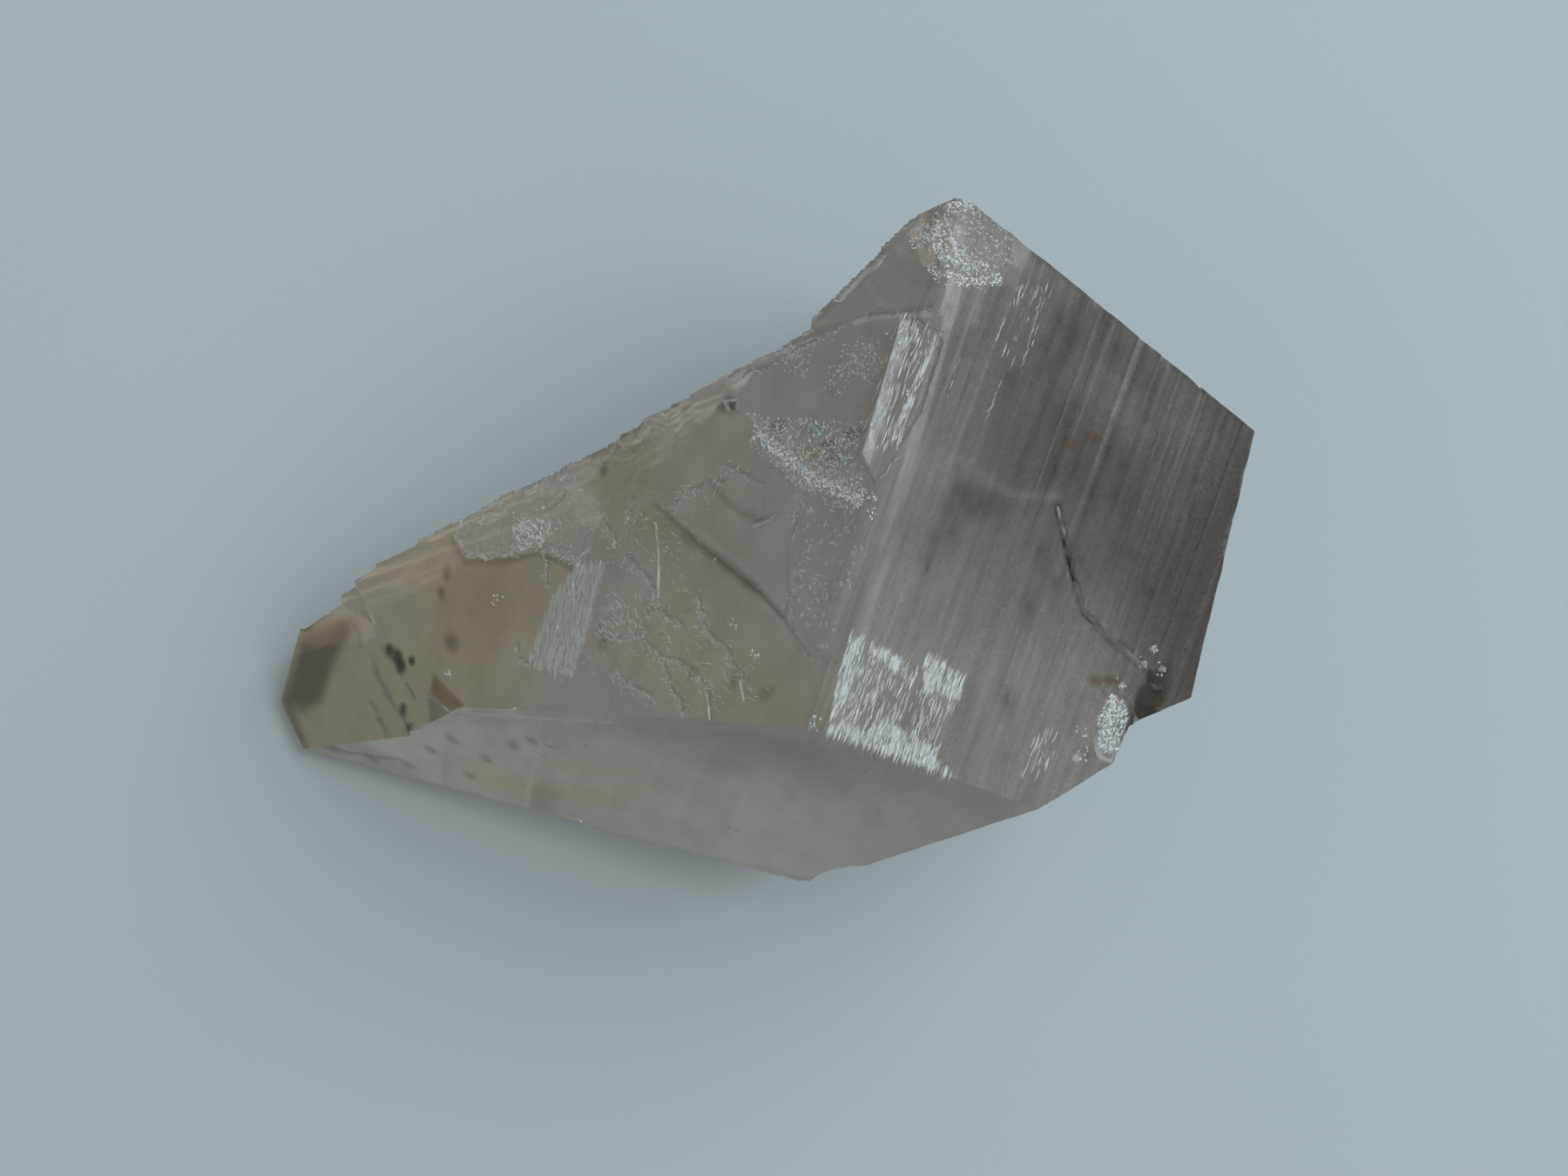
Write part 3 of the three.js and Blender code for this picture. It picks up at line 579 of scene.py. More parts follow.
# sparkles: painted glints, laid as frost and shining slivers
TIP_SPARKLES = [
    (2.4, 29.5), (-4.1, 32.1), (5.1, 31.5), (7.5, 34.9), (7.9, 33.1), (9.8, 27.4), (12.6, 26.6),
    (3.7, 5.8), (5.4, 8.5), (8.4, 28.9), (11.4, 29),
]
RAINBOW = [  # places and tints: the thin gap of the fracture splits the light
    (18.6, 9.4, (140, 160, 195)), (20.3, 6.3, (155, 190, 155)), (18.3, 6, (205, 190, 145)),
    (18.5, 4, (160, 152, 195)), (20.1, 5.8, (145, 190, 200)), (18.6, 3.1, (145, 190, 200)),
    (17.3, 6.2, (145, 180, 195)), (18.8, 5, (200, 160, 148)),
]
VEIL = [(6.5, 23), (7, 20.6), (2.2, 20.7), (-1.3, 20.9), (-1.5, 25.1), (3.4, 24.5)]  # a pale band
PLATES = [  # clouded plates
    [(4.7, 20), (5.8, 18.7), (4.8, 17.1), (3.7, 15.8), (3.2, 15.3), (2, 17.1), (2, 19.1),
     (3.1, 20.1)],
    [(15.4, 5.6), (15.8, 1.4), (12.7, -0.2), (7.6, -0.1), (4.7, 0.8), (4.6, 1.9), (6.1, 4.2),
     (8, 4.4), (9.9, 4.7), (13.2, 5.8)],
    [(17.8, 9.9), (16.9, 8.3), (15.9, 5.7), (15.6, 3.6), (16.4, 3.4), (17.2, 6.4), (18.4, 9.6)],
]
FRACTURED = [  # where small fractures lie between the rims
    (13.5, 19.5), (14.5, 13), (7.5, 11.5), (1.5, 4), (-1.5, 8.5), (-1.5, 20), (4, 21),
]

SEDIMENT = [  # yellow clouds under the front prism face
    [(-23.4, -28.9), (-19.4, -28), (-13.8, -24.7), (-8.7, -18.9), (-12.2, -26.9), (-19.1, -31.6),
     (-23, -31.4)],
    [(-19.7, -23.6), (-16.2, -22.2), (-10.3, -17.7), (-13.4, -21.6)],
]


def paint_top(canvas):
    """The big prism face: brushed grey with painted light and shade, painted highlights in the white
    streaks at the front, and a bruise far off.
    """
    canvas.on(TOP, 0.5, 0.5)
    canvas.lines += canvas.share
    canvas.paint(canvas.share, GREY, dull=0.26)
    # painted light and shade: the top face lighter at the front and darker towards the far right
    canvas.tones(TOP_LIGHT_AND_SHADE)
    # painted shade along the right edge and the far edge
    right_edge = [(20.8, 30.5), (21.4, 26), (23.3, 21.7), (23.6, 18.4), (23.7, 13.8), (24, 11.1)]
    canvas.paint(canvas.line(right_edge, 1, 0.5), DARK, 0.8)
    far_edge = [(-2, 37.6), (9.8, 34.3), (21.5, 29.5)]
    canvas.paint(canvas.line(far_edge, 0.7, 0.4), DARK, 0.5)

    # the translucent slab along the edge to the tip face
    slab = [
        (-4.1, 29.2), (-1, 28.6), (-0.9, 25.6), (-1.1, 20.8), (-1, 19.5), (-3.8, 19), (-4.1, 24),
    ]
    canvas.paint(canvas.patch(slab, 0.2, 0.1), WHITE, 0.6)
    canvas.add_frost_and_glints(canvas.line([(-1.3, 27.6), (-1.4, 20.6)], 0.25, 0.15), 0.35)
    before_bruise = [(-4.5, 33), (0.8, 33.3), (1.2, 30), (-1, 28.8), (-4.2, 29.4)]
    canvas.paint(canvas.patch(before_bruise), PALE, 0.5)

    # white streaks, painted highlights of light reflected inside the crystal, each patch cut off square
    # to the growth lines; a painted highlight along the edge to the tip face
    streaked = [(0.2, 7), (4.6, 7), (9.2, 6.8), (9, 1), (10.3, 0), (0.6, 0)]
    canvas.paint(canvas.patch(streaked, 0.5, 0.2), PALE, 0.4)
    canvas.add_frost_and_glints(canvas.patch(streaked, 0.3, 0.2), 0.36)
    left_edge = [(0.3, 0.3), (-0.1, 7), (-1.2, 16)]
    canvas.paint(canvas.line(left_edge, 0.5, 0.2), PALE, 0.5)
    for outline, _ in STREAK_PATCHES[:5]:
        canvas.add_frost_and_glints(canvas.patch(outline, 0.15, 0.12), 0.7)
        canvas.paint(canvas.patch(outline, 0.3, 0.12), WHITE, 0.6)
    for route in STREAK_LINES:
        canvas.add_frost_and_glints(canvas.line(route, 0.18, 0.12, 0.02), 0.4)

    # the bruise: crescents of crushed white stone around the far corner
    canvas.paint(canvas.blob(-1, 35.2, 3.4, 2.6), PALE, 0.8, dull=0.6)
    for route, band in BRUISE_ARCS:
        canvas.add_frost_and_glints(canvas.line(route, band, 0.35, 0.4), 0.85)
    canvas.add_frost_and_glints(canvas.blob(-0.2, 35.6, 2.4, 2), 0.28)

    # the crushed chip, the pit at the break, painted dark as shade in its hollow, and the crack that
    # runs into it
    canvas.on(TOP, 0.3, 2)
    canvas.paint(canvas.patch(CHIP, 0.5, 0.3), WHITE, 0.8, dull=0.6)
    canvas.add_frost_and_glints(canvas.patch(CHIP, 0.4, 0.4), 0.9)
    # sparkles: painted glints, laid as frost
    for x, y in TOP_SPARKLES:
        canvas.add_frost_and_glints(canvas.blob(x, y, 0.3, 0.3), 0.8)
    # painted shade in the pit
    canvas.paint(canvas.blob(21.2, 10, 1, 2.4, -8, 0.3), PIT_SHADE, 0.9)
    canvas.paint(canvas.blob(20.9, 7.6, 0.9, 0.8, 0, 0.5), BLACK, 0.6)
    crack = [(10.7, 20.1), (12.8, 16.7), (14.9, 13.8), (17.6, 12.7), (20.4, 11.6)]
    canvas.paint(canvas.line(crack, 0.45, 0.12, 0.02), BLACK, 0.95)

    # stains: a brown cloud, and spots scattered over the middle and the far half
    canvas.paint(canvas.blob(5.2, 18.3, 1.9, 1.1, 20, 0.7), BROWN, 0.6)
    canvas.paint(canvas.blob(4.2, 18.9, 0.7, 0.5, 0, 0.7), DARK, 0.6)
    specks = [
        (3.5, 15.1), (4.5, 15.9), (3.7, 13.2), (12, 6.3), (10.6, 16.7), (11.2, 12.9), (13.4, 17.2),
        (12.3, 15), (18.7, 16.7), (16.3, 18.9), (6.5, 32.1), (7.7, 30.7), (6.8, 29.2), (4.4, 27.4),
        (13.8, 30.1), (14.4, 27.9), (10.7, 31.6), (9.1, 33.3), (8.9, 26), (12.6, 24.9), (13.8, 24.2),
        (19, 24.9), (9.8, 22.3), (11, 22.9), (12.6, 21.7), (14.8, 22.9), (14.2, 22),
    ]
    for x, y in specks:
        canvas.paint(canvas.blob(x, y, 0.7, 1.2, 20, 0.9), BROWN, 0.35)
        canvas.paint(canvas.blob(x, y, 0.2, 0.35, 20, 0.9), BLACK, 0.35)
    rusty = [(17.3, 9.7), (18.2, 10.1), (10, 24.5), (11.3, 25.4)]
    canvas.spots(rusty, (0.5, 0.35, 0, 0.6), RUST, 0.75)
    pale_line = [(2.2, 20), (3.2, 21), (4.6, 20.4), (7.4, 19.8), (10.4, 20.7)]
    canvas.paint(canvas.line(pale_line, 0.4, 0.5), PALE, 0.4)


def paint_tip_face(canvas):
    """The big tip face: tan, with grey plates, painted highlights as thin white lines along the fracture
    rims, and a dark groove.
    """
    canvas.on(TIP)
    canvas.share = np.maximum(canvas.share, TIP_SHARE_ON_RELIEF * canvas.relief(TIP))
    canvas.paint(canvas.share, SOFT, dull=0.16)
    canvas.tones(TIP_TONES)

    # clouded bands and plates
    before_veil = [(-2, 23.6), (-1.5, 20.8), (-4.4, 22.8), (-5.3, 25.2)]
    left_of_groove = [
        (9.9, 19.8), (10.4, 18.7), (8.3, 16.7), (6.3, 15.1), (5, 15.3), (4.1, 15.9), (6.5, 17.7),
        (7.8, 19),
    ]
    behind_groove = [(12, 19.6), (13.8, 15.6), (14.9, 12.6), (13, 9), (11.6, 16)]
    clouded = [
        (VEIL, PALE, 0.75), (before_veil, PALE, 0.45), (PLATES[0], PALE, 0.45),
        (left_of_groove, SOFT, 0.6), (PLATES[1], SOFT, 0.75),
        (behind_groove, SOFT, 0.5), (PLATES[2], PALE, 0.6),
    ]
    for outline, colour, strength in clouded:
        canvas.paint(canvas.patch(outline, 0.3, 0.25), colour, strength)
    across_veil = [(3.4, 24.3), (4.2, 20.9)]
    for shift in (0, -0.9, -1.8, -2.7, -3.6):
        route = [(x + shift, y) for x, y in across_veil]
        canvas.paint(canvas.line(route, 0.12, 0.3, 0.1), WHITE, 0.3)

    # painted highlights: thin white lines where the rims of plates and fractures catch the light, each
    # with a painted shadow just beside it
    for route in TIP_RIMS:
        canvas.paint(canvas.line(route, 1, 0.8, 0.4), PALE, 0.3)
        shadow = [(x + 0.3, y - 0.1) for x, y in route]
        canvas.paint(canvas.line(shadow, 0.16, 0.14, 0.2), BROWN, 0.5)
        canvas.paint(canvas.line(route, 0.14, 0.12, 0.2), WHITE, 0.8)

    # the clear chip at the back, with bright rims painted as highlights, painted shade at the foot of
    # its front, and sparkles
    canvas.paint(canvas.patch(CLEAR_CHIP, 0.3, 0.25), PALE, 0.6, dull=0.12)
    canvas.paint(canvas.patch(BRIGHT_SPOT, 0.3, 0.3), WHITE, 0.7)
    canvas.add_frost_and_glints(canvas.line(BRIGHT_SPOT, 0.3, 0.2, 0.3), 0.55)
    canvas.add_frost_and_glints(canvas.line(CHIP_FRONT, 0.35, 0.2, 0.3), 0.5)
    under = [(x - 0.5, y) for x, y in CHIP_FRONT]
    canvas.paint(canvas.line(under, 0.4, 0.3), BROWN, 0.6)
    # sparkles: painted glints, laid as frost
    for x, y in TIP_SPARKLES:
        canvas.add_frost_and_glints(canvas.blob(x, y, 0.3, 0.25), 0.8)

    # the dark groove, with a painted highlight along its lit side, and painted shade beside one of the
    # fractures
    groove = [
        (12.2, 17.4), (11.6, 16.2), (10.7, 14.4), (9.6, 11.4), (8.2, 7.4), (6.9, 4.9), (5, 2.4),
    ]
    canvas.paint(canvas.line(groove, 0.2, 0.25, 0.05), BROWN, 0.6)
    canvas.paint(canvas.line(groove[1:-1], 0.5, 0.3, 0.08), BROWN, 0.5)
    canvas.paint(canvas.line(groove[2:-2], 0.8, 0.35, 0.12), BROWN, 0.5)
    lit = [(x + 0.75, y - 0.1) for x, y in groove[1:-1]]
    canvas.paint(canvas.line(lit, 0.2, 0.3, 0.1), WHITE, 0.7)
    shade = [(14.6, 13.1), (14, 12), (13.2, 10.4), (13.1, 8.6)]
    canvas.paint(canvas.line(shade, 0.3, 0.4, 0.2), BROWN, 0.6)

    # stains
    pale_end = [(0.7, 42.1), (1.8, 37.4), (-1, 34.3), (-3.3, 37), (-2.4, 39.9)]
    canvas.paint(canvas.patch(pale_end, 0.8), PALE_TAN, 0.5)
    rusty = [(1.2, 4.6), (1.5, 4), (1.5, 18.9), (1.6, 7.1), (1.2, 10.6)]
    canvas.spots(rusty, (0.5, 0.35, 0, 0.8), RUST, 0.4)
    dirt = [
        (3.2, 34.8, 0.6), (1.6, 34.8, 0.5), (-1.7, 32.6, 0.8), (13.8, 23.2, 0.5), (12.6, 39.7, 0.5),
        (20.5, 13.5, 0.7), (20.2, 14.2, 0.5),
    ]
    for x, y, size in dirt:
        canvas.paint(canvas.blob(x, y, size, size * 0.7, 30, 0.7), BLACK, 0.6)

    # the fracture under the back corner, with a bright bow at its front and frost behind it
    canvas.paint(canvas.patch(FRACTURE, 0.4, 0.3), PALE, 0.6, dull=0.1)
    canvas.add_frost_and_glints(canvas.line(BOW, 0.55, 0.25, 0.2), 0.75)
    for x, y in FROST_SPOTS:
        canvas.add_frost_and_glints(canvas.blob(x, y, 0.7, 0.9, 20, 0.7), 0.42)
    for x, y, tint in RAINBOW:
        canvas.paint(canvas.blob(x, y, 0.45, 0.8, 25, 0.7), linear(*tint), 0.4)
    gaps_in_frost = [(19.4, 4.7), (19.8, 9.1), (20.5, 2.9)]
    canvas.spots(gaps_in_frost, (0.35, 0.7, 20, 0.6), BROWN, 0.6)


def paint_tip_end(canvas):
    """Stains, dirt and dark lines along the steps at the very tip, placed as they look from above."""
    canvas.on_seen(TIP)
    whole_end = [
        (-1.6, 48.5), (-1.4, 43), (-3.2, 40.8), (-3.4, 36.4), (-5.6, 29.9), (-16, 33), (-14, 48),
    ]
    canvas.paint(canvas.patch(whole_end, 0.4, 0.2), TAN, 0.9, dull=0.18)
    brown_triangle = [
        (-4.2, 47.3), (-2.2, 42.5), (-3.7, 42.6), (-5.6, 43.3), (-9.1, 43.6), (-10.7, 45.5),
        (-9.8, 47.6), (-7.1, 47.4),
    ]
    canvas.paint(canvas.patch(brown_triangle, 0.6), BROWN, 0.9)
    beside_triangle = [(-4.1, 47.1), (-3.1, 45.1), (-2.3, 43.1), (-3.5, 43.1), (-4.3, 45.1)]
    canvas.paint(canvas.patch(beside_triangle, 0.4), OCHRE, 0.6)
    ochre_step = [(-4.4, 33.5), (-6, 29.9), (-8.2, 32.4), (-6.5, 33.4)]
    canvas.paint(canvas.patch(ochre_step, 0.3), OCHRE, 0.85)
    canvas.paint(canvas.line([(-10, 47.3), (-11.8, 45.5), (-13, 44.1)], 0.8, 0.3), BLACK, 0.6)
    # dark lines along the rims of the steps
    black_rims = [
        [(-2.6, 42.4), (-3.7, 41.5), (-4.6, 40.6)],
        [(-5, 39.7), (-6.3, 38.2), (-7.5, 36.7), (-8.3, 35.3), (-9.4, 34.2)],
        [(-5.8, 35.8), (-6.7, 34.6)],
        [(-8, 38.6), (-8.4, 38.1)],
        [(-9.1, 37.4), (-10, 36.4), (-10.1, 36)],
    ]
    for route in black_rims:
        canvas.paint(canvas.line(route, 0.25, 0.15, 0.15), BLACK, 0.7)
    dirt = [
        (-3.8, 38.4, 0.6), (-4.1, 37.4, 0.7), (-4.7, 36.8, 0.6), (-4, 35.9, 0.4), (-7.7, 35.5, 0.5),
        (-8.9, 34.4, 0.4),
    ]
    for x, y, size in dirt:
        canvas.paint(canvas.blob(x, y, size, size * 0.8, 30, 0.5), BLACK, 0.95, dull=0.7)


def paint_side(canvas):
    """The front prism face: smooth grey, yellowish on the left, dirt along its lower left edge, and a
    painted reflection of a dark band near the shoulder.
    """
    canvas.on(SIDE, 0.9)
    canvas.paint(canvas.share, SIDE_GREY, dull=0.1)
    # painted reflection: a wide grey band near the shoulder, a dark band reflected inside the crystal
    canvas.paint(canvas.blob(-4, -6, 13, 4.5, 25, 0.8), GREY, 0.75)
    for outline in SEDIMENT:
        canvas.paint(canvas.patch(outline, 1.6, 0.8), YELLOW, 0.8)
    grey_band = [(-22.6, -22.6), (-13.5, -12.8), (-7.3, -8.1)]
    canvas.paint(canvas.line(grey_band, 1.6, 1), GREY, 0.6)
    ochre_spots = [
        (-35.3, -35.9), (-31.8, -35.1), (-28.9, -33.8), (-23.6, -31), (-22.4, -26.5),
        (-20.5, -21.7), (-19.2, -19.6), (-27, -28.9), (-25.3, -25.1),
    ]
    canvas.spots(ochre_spots, (0.5, 0.8, 20, 0.7), OCHRE, 0.7)
    lower_edge = [(-36.3, -36.3), (-33.9, -35.7), (-31.5, -34.2), (-29.3, -33.1)]
    canvas.paint(canvas.line(lower_edge, 0.4, 0.3, 0.4), RUST, 0.7)
    # painted reflection: the darkest part of that band
    canvas.paint(canvas.blob(-1.5, -6, 9, 4.5, 20, 0.9), DARK, 0.4)
    darker = [(-3.1, -5.2), (0.7, -5), (-4.8, -11.8)]
    canvas.spots(darker, (2.8, 1.3, 20, 0.9), DARK, 0.15)
    canvas.add_frost_and_glints(canvas.blob(-17.6, -19.2, 0.6, 0.5), 0.5)
    canvas.paint(canvas.line([(8.4, -7.2), (11.8, -2.2), (15.1, -2.4)], 0.4, 0.4), PALE, 0.5)


def paint_crystal(mesh):
    """All paint, face by face."""
    canvas = Canvas(mesh)
    paint_top(canvas)
    paint_tip_face(canvas)
    paint_tip_end(canvas)
    paint_side(canvas)
    canvas.put(mesh)


# ---- crushed stone
SLIVER_SEED = 31
SLIVER_LIFT = 0.02  # from the surface to the middle of a sliver
HALF_THICKNESS = 0.012
SEARCH_HEIGHT = 3.0  # over a face, from where its surface is looked for
SLIVER_SIDES = [(0, 1, 2, 3), (7, 6, 5, 4), (0, 4, 5, 1), (1, 5, 6, 2), (2, 6, 7, 3), (3, 7, 4, 0)]


class Flakes:
    """Slivers of crushed stone, laid on a crystal's mesh. Each is a thin closed shard."""

    def __init__(self, mesh):
        corners = array_of(mesh.vertices, "co", 3).tolist()
        triangles = array_of(mesh.polygons, "vertices", 3).astype(int).tolist()
        self.surface = BVHTree.FromPolygons(corners, triangles)
        self.random = np.random.default_rng(SLIVER_SEED)
        self.points, self.faces, self.colours = [], [], []

    def lay(self, face, x, y, turn, length, width, lean=4, depth=0.0, colour=GLINT):
        """One sliver: turn is its direction on the face, lean how far it may tip, in degrees."""
        start = face.world(x, y, SEARCH_HEIGHT)
        hit, _, _, _ = self.surface.ray_cast(start, Vector(-face.normal))
        if hit is None:
            return
        lift = SLIVER_LIFT - depth
        middle = np.array(hit) / MM + face.normal * lift
        c, s = math.cos(math.radians(turn)), math.sin(math.radians(turn))
        tip1, tip2 = np.radians(self.random.uniform(-lean, lean, 2))
        along = (face.x * c + face.y * s) + face.normal * math.tan(tip1)
        across = (face.y * c - face.x * s) + face.normal * math.tan(tip2)
        off = self.random.uniform(-0.3, 0.3) * length
        thick = face.normal * HALF_THICKNESS
        end, side = along * length / 2, across * width / 2 + along * off
        rim = (end, side, -end, -side)
        first = len(self.points)
        self.points += [middle + corner + thick for corner in rim]
        self.points += [middle + corner - thick for corner in rim]
        self.faces += [[first + i for i in corners] for corners in SLIVER_SIDES]
        self.colours += [colour] * 8

    def along(self, face, route, every, width, length, lean, band=0.0, gaps=0.15, colour=GLINT):
        """Slivers end to end along a route, or all over a band around it, with a few gaps."""
        for (x0, y0), (x1, y1) in edges_of(route):
            run = math.hypot(x1 - x0, y1 - y0)
            ahead = math.degrees(math.atan2(y1 - y0, x1 - x0))
            missing = gaps * self.random.uniform(0.3, 2.0)
            for t in np.arange(0, run, every) / run:
                if self.random.random() < missing:
                    continue
                aside = self.random.uniform(-band / 2, band / 2) + 0.05 * self.random.normal()
                x = x0 + t * (x1 - x0) - aside * (y1 - y0) / run
                y = y0 + t * (y1 - y0) + aside * (x1 - x0) / run
                turn = ahead + self.random.normal() * (14 + 60 * band)
                size = self.random.uniform(0.5, 1.4)
                self.lay(face, x, y, turn, length * size, width * size, lean, colour=colour)

    def over(self, face, outline, density, length, width, turn=90, spread=1.0, lean=4,
             colours=(GLINT,), depth=(0, 0)):
        """Slivers all over a patch, so many to a square millimetre, turned one way more or less."""
        low, high = np.min(outline, 0), np.max(outline, 0)
        count = int(density * (high[0] - low[0]) * (high[1] - low[1]))
        spots = self.random.uniform(low, high, (count, 2))
        for x, y in spots[inside_of(edges_of(outline, closed=True), *spots.T)]:
            long = length * self.random.uniform(0.4, 1.6)
            colour = colours[self.random.integers(len(colours))]
            turned = turn + spread * self.random.normal()
            wide = width * self.random.uniform(0.5, 1.5)
            self.lay(face, x, y, turned, long, wide, lean, self.random.uniform(*depth), colour)

    def sparkles(self, face, places, count=6, reach=0.22):
        """A few shards together at each place."""
        for x, y in places:
            for dx, dy in self.random.normal(0, reach, (count, 2)):
                turn = self.random.uniform(0, 180)
                self.lay(face, x + dx, y + dy, turn, 0.22, 0.1, 30, colour=SHINING)

    def mesh(self):
        """All slivers as one mesh, with their colours on its corners."""
        mesh = bpy.data.meshes.new("slivers_mesh")
        mesh.from_pydata(np.array(self.points) * MM, [], self.faces)
        colour_and_painted_light = mesh.color_attributes.new("colour_and_painted_light", "FLOAT_COLOR", "POINT")
        rgba = np.concatenate([self.colours, np.ones((len(self.colours), 1))], 1)
        colour_and_painted_light.data.foreach_set("color", rgba.astype(np.float32).ravel())
        return mesh


def square(x, y, reach):
    """The outline of a square around a place, reaching that far to each side."""
    return [(x + i * reach, y + j * reach) for i, j in ((-1, -1), (1, -1), (1, 1), (-1, 1))]


def crushed_stone(crystal_mesh):
    """White slivers on the crystal: streaks, bruise and chip, then rims, fractures and veils."""
    flakes = Flakes(crystal_mesh)
    mostly_white = (SHINING, SHINING, GLINT)
    for outline, density in STREAK_PATCHES:
        flakes.over(TOP, outline, 5 * density, 0.9, 0.055, spread=1.5, colours=mostly_white)
    for route in STREAK_LINES:
        flakes.along(TOP, route, 0.3, 0.06, 0.5, 3, gaps=0.25)
    for route, band in BRUISE_ARCS:
        flakes.along(TOP, route, 0.03, 0.1, 0.22, 25, 1.2 * band, 0.2, SHINING)
        flakes.along(TOP, route, 0.05, 0.1, 0.22, 25, 2.6 * band, 0.2)
    flakes.over(TOP, BRUISE, 18, 0.24, 0.1, 0, 180, 30, (GLINT, GLINT, FAINT))
    flakes.over(TOP, CHIP, 50, 0.3, 0.12, 70, 30, 25, mostly_white)
    flakes.sparkles(TOP, TOP_SPARKLES)

    for route in TIP_RIMS:
        flakes.along(TIP, route, 0.08, 0.07, 0.2, 14, 0.35, 0.45)
        flakes.along(TIP, route, 0.07, 0.06, 0.2, 14, 1.2, 0.5)
    flakes.over(TIP, FRACTURED, 1.0, 0.6, 0.05, 70, 25, 6)
    flakes.along(TIP, CLEAR_CHIP[:8], 0.05, 0.07, 0.22, 20, 0.6, 0.2)
    flakes.over(TIP, CLEAR_CHIP, 4, 0.3, 0.07, 60, 60, 15)
    flakes.over(TIP, BRIGHT_SPOT, 25, 0.35, 0.08, 60, 25, 20, (SHINING, GLINT))
    flakes.along(TIP, [*BRIGHT_SPOT, BRIGHT_SPOT[0]], 0.1, 0.07, 0.25, 20, 0.3, 0.3, SHINING)
    flakes.along(TIP, BOW, 0.03, 0.09, 0.25, 15, 0.8, 0.1, SHINING)
    flakes.along(TIP, BOW, 0.03, 0.09, 0.25, 15, 2.2, 0.1)
    flakes.over(TIP, FRACTURE, 24, 0.22, 0.08, 60, 60, 20, (SHINING, GLINT, GLINT, FAINT))
    for x, y, tint in RAINBOW:
        flakes.over(TIP, square(x, y, 0.4), 14, 0.26, 0.12, 60, 40, 10, (linear(*tint),))
    for x, y in FROST_SPOTS:
        flakes.over(TIP, square(x, y, 1), 14, 0.22, 0.08, 0, 90, 20)
    flakes.sparkles(TIP, TIP_SPARKLES)
    flakes.over(TIP, VEIL, 3, 1.2, 0.04, 8, 4, 3)
    # the last ones lie under the surface
    flakes.over(TIP, VEIL, 20, 0.9, 0.3, 8, 15, 12, (SHINING,), (0.1, 0.5))
    for outline, density in zip(PLATES, (6, 2.5, 5)):
        flakes.over(TIP, outline, density, 0.4, 0.15, 40, 50, 15, (SHINING,), (0.1, 0.4))
    return flakes.mesh()


# ---- materials
IOR = 1.544
SMOKE = (0.69, 0.61, 0.545, 1.0)
SMOKE_DENSITY = 18.5
FROST_WHITE = (0.88, 0.92, 0.93, 1.0)


class Tree:
    """A short way to build a material's nodes."""

    def __init__(self, name):
        self.material = bpy.data.materials.new(name)
        self.material.use_nodes = True
        self.tree = self.material.node_tree
        self.shader = self.tree.nodes["Principled BSDF"]
        self.output = self.tree.nodes["Material Output"]

    def node(self, kind, values=(), **settings):
        """A node. values are its inputs by position: a socket is linked, and None is left."""
        made = self.tree.nodes.new("ShaderNode" + kind)
        for name, value in settings.items():
            setattr(made, name, value)
        for i, value in enumerate(values):
            self.feed(made.inputs[i], value)
        return made

    def feed(self, socket, value):
        """Links a socket to another one, or sets its value."""
        if isinstance(value, bpy.types.NodeSocket):
            self.tree.links.new(value, socket)
        elif value is not None:
            socket.default_value = value

    def give(self, node, **inputs):
        """Feeds a node's inputs by name, with _ for a space."""
        for name, value in inputs.items():
            self.feed(node.inputs[name.replace("_", " ")], value)

    def math(self, operation, *values):
        return self.node("Math", values, operation=operation).outputs[0]

    def varied(self, base, pattern, amount):
        """base, and a pattern around one half added to it by that amount."""
        return self.math("MULTIPLY_ADD", self.math("SUBTRACT", pattern, 0.5), amount, base)

    def attribute(self, name, output="Fac"):
        return self.node("Attribute", attribute_name=name).outputs[output]

    def mix(self, share, first, second, blend="MIX"):
        """Two colours mixed."""
        made = self.node("Mix", data_type="RGBA", blend_type=blend)
        for i, value in ((0, share), (6, first), (7, second)):  # the sockets for colours
            self.feed(made.inputs[i], value)
        return made.outputs[2]

    def ramp(self, value, low, high):
        """value from low..high to 0..1, smoothly."""
        made = self.node("MapRange", (value, low, high, 0.0, 1.0), interpolation_type="SMOOTHSTEP")
        return made.outputs[0]

    def turned(self, stretch):
        """Object coordinates turned so that x runs along the long axis, then stretched."""
        place = self.node("TexCoord").outputs["Object"]
        turn = math.radians(180 - AXIS_AZIMUTH)
        turned = self.node("Mapping", (place, None, (0, 0, turn)))
        return self.node("Mapping", (turned.outputs[0], None, None, stretch)).outputs[0]

    def noise(self, vector, scale, detail=3.0, roughness=0.55):
        made = self.node("TexNoise", (vector,))
        self.give(made, Scale=scale, Detail=detail, Roughness=roughness)
        return made.outputs["Fac"]


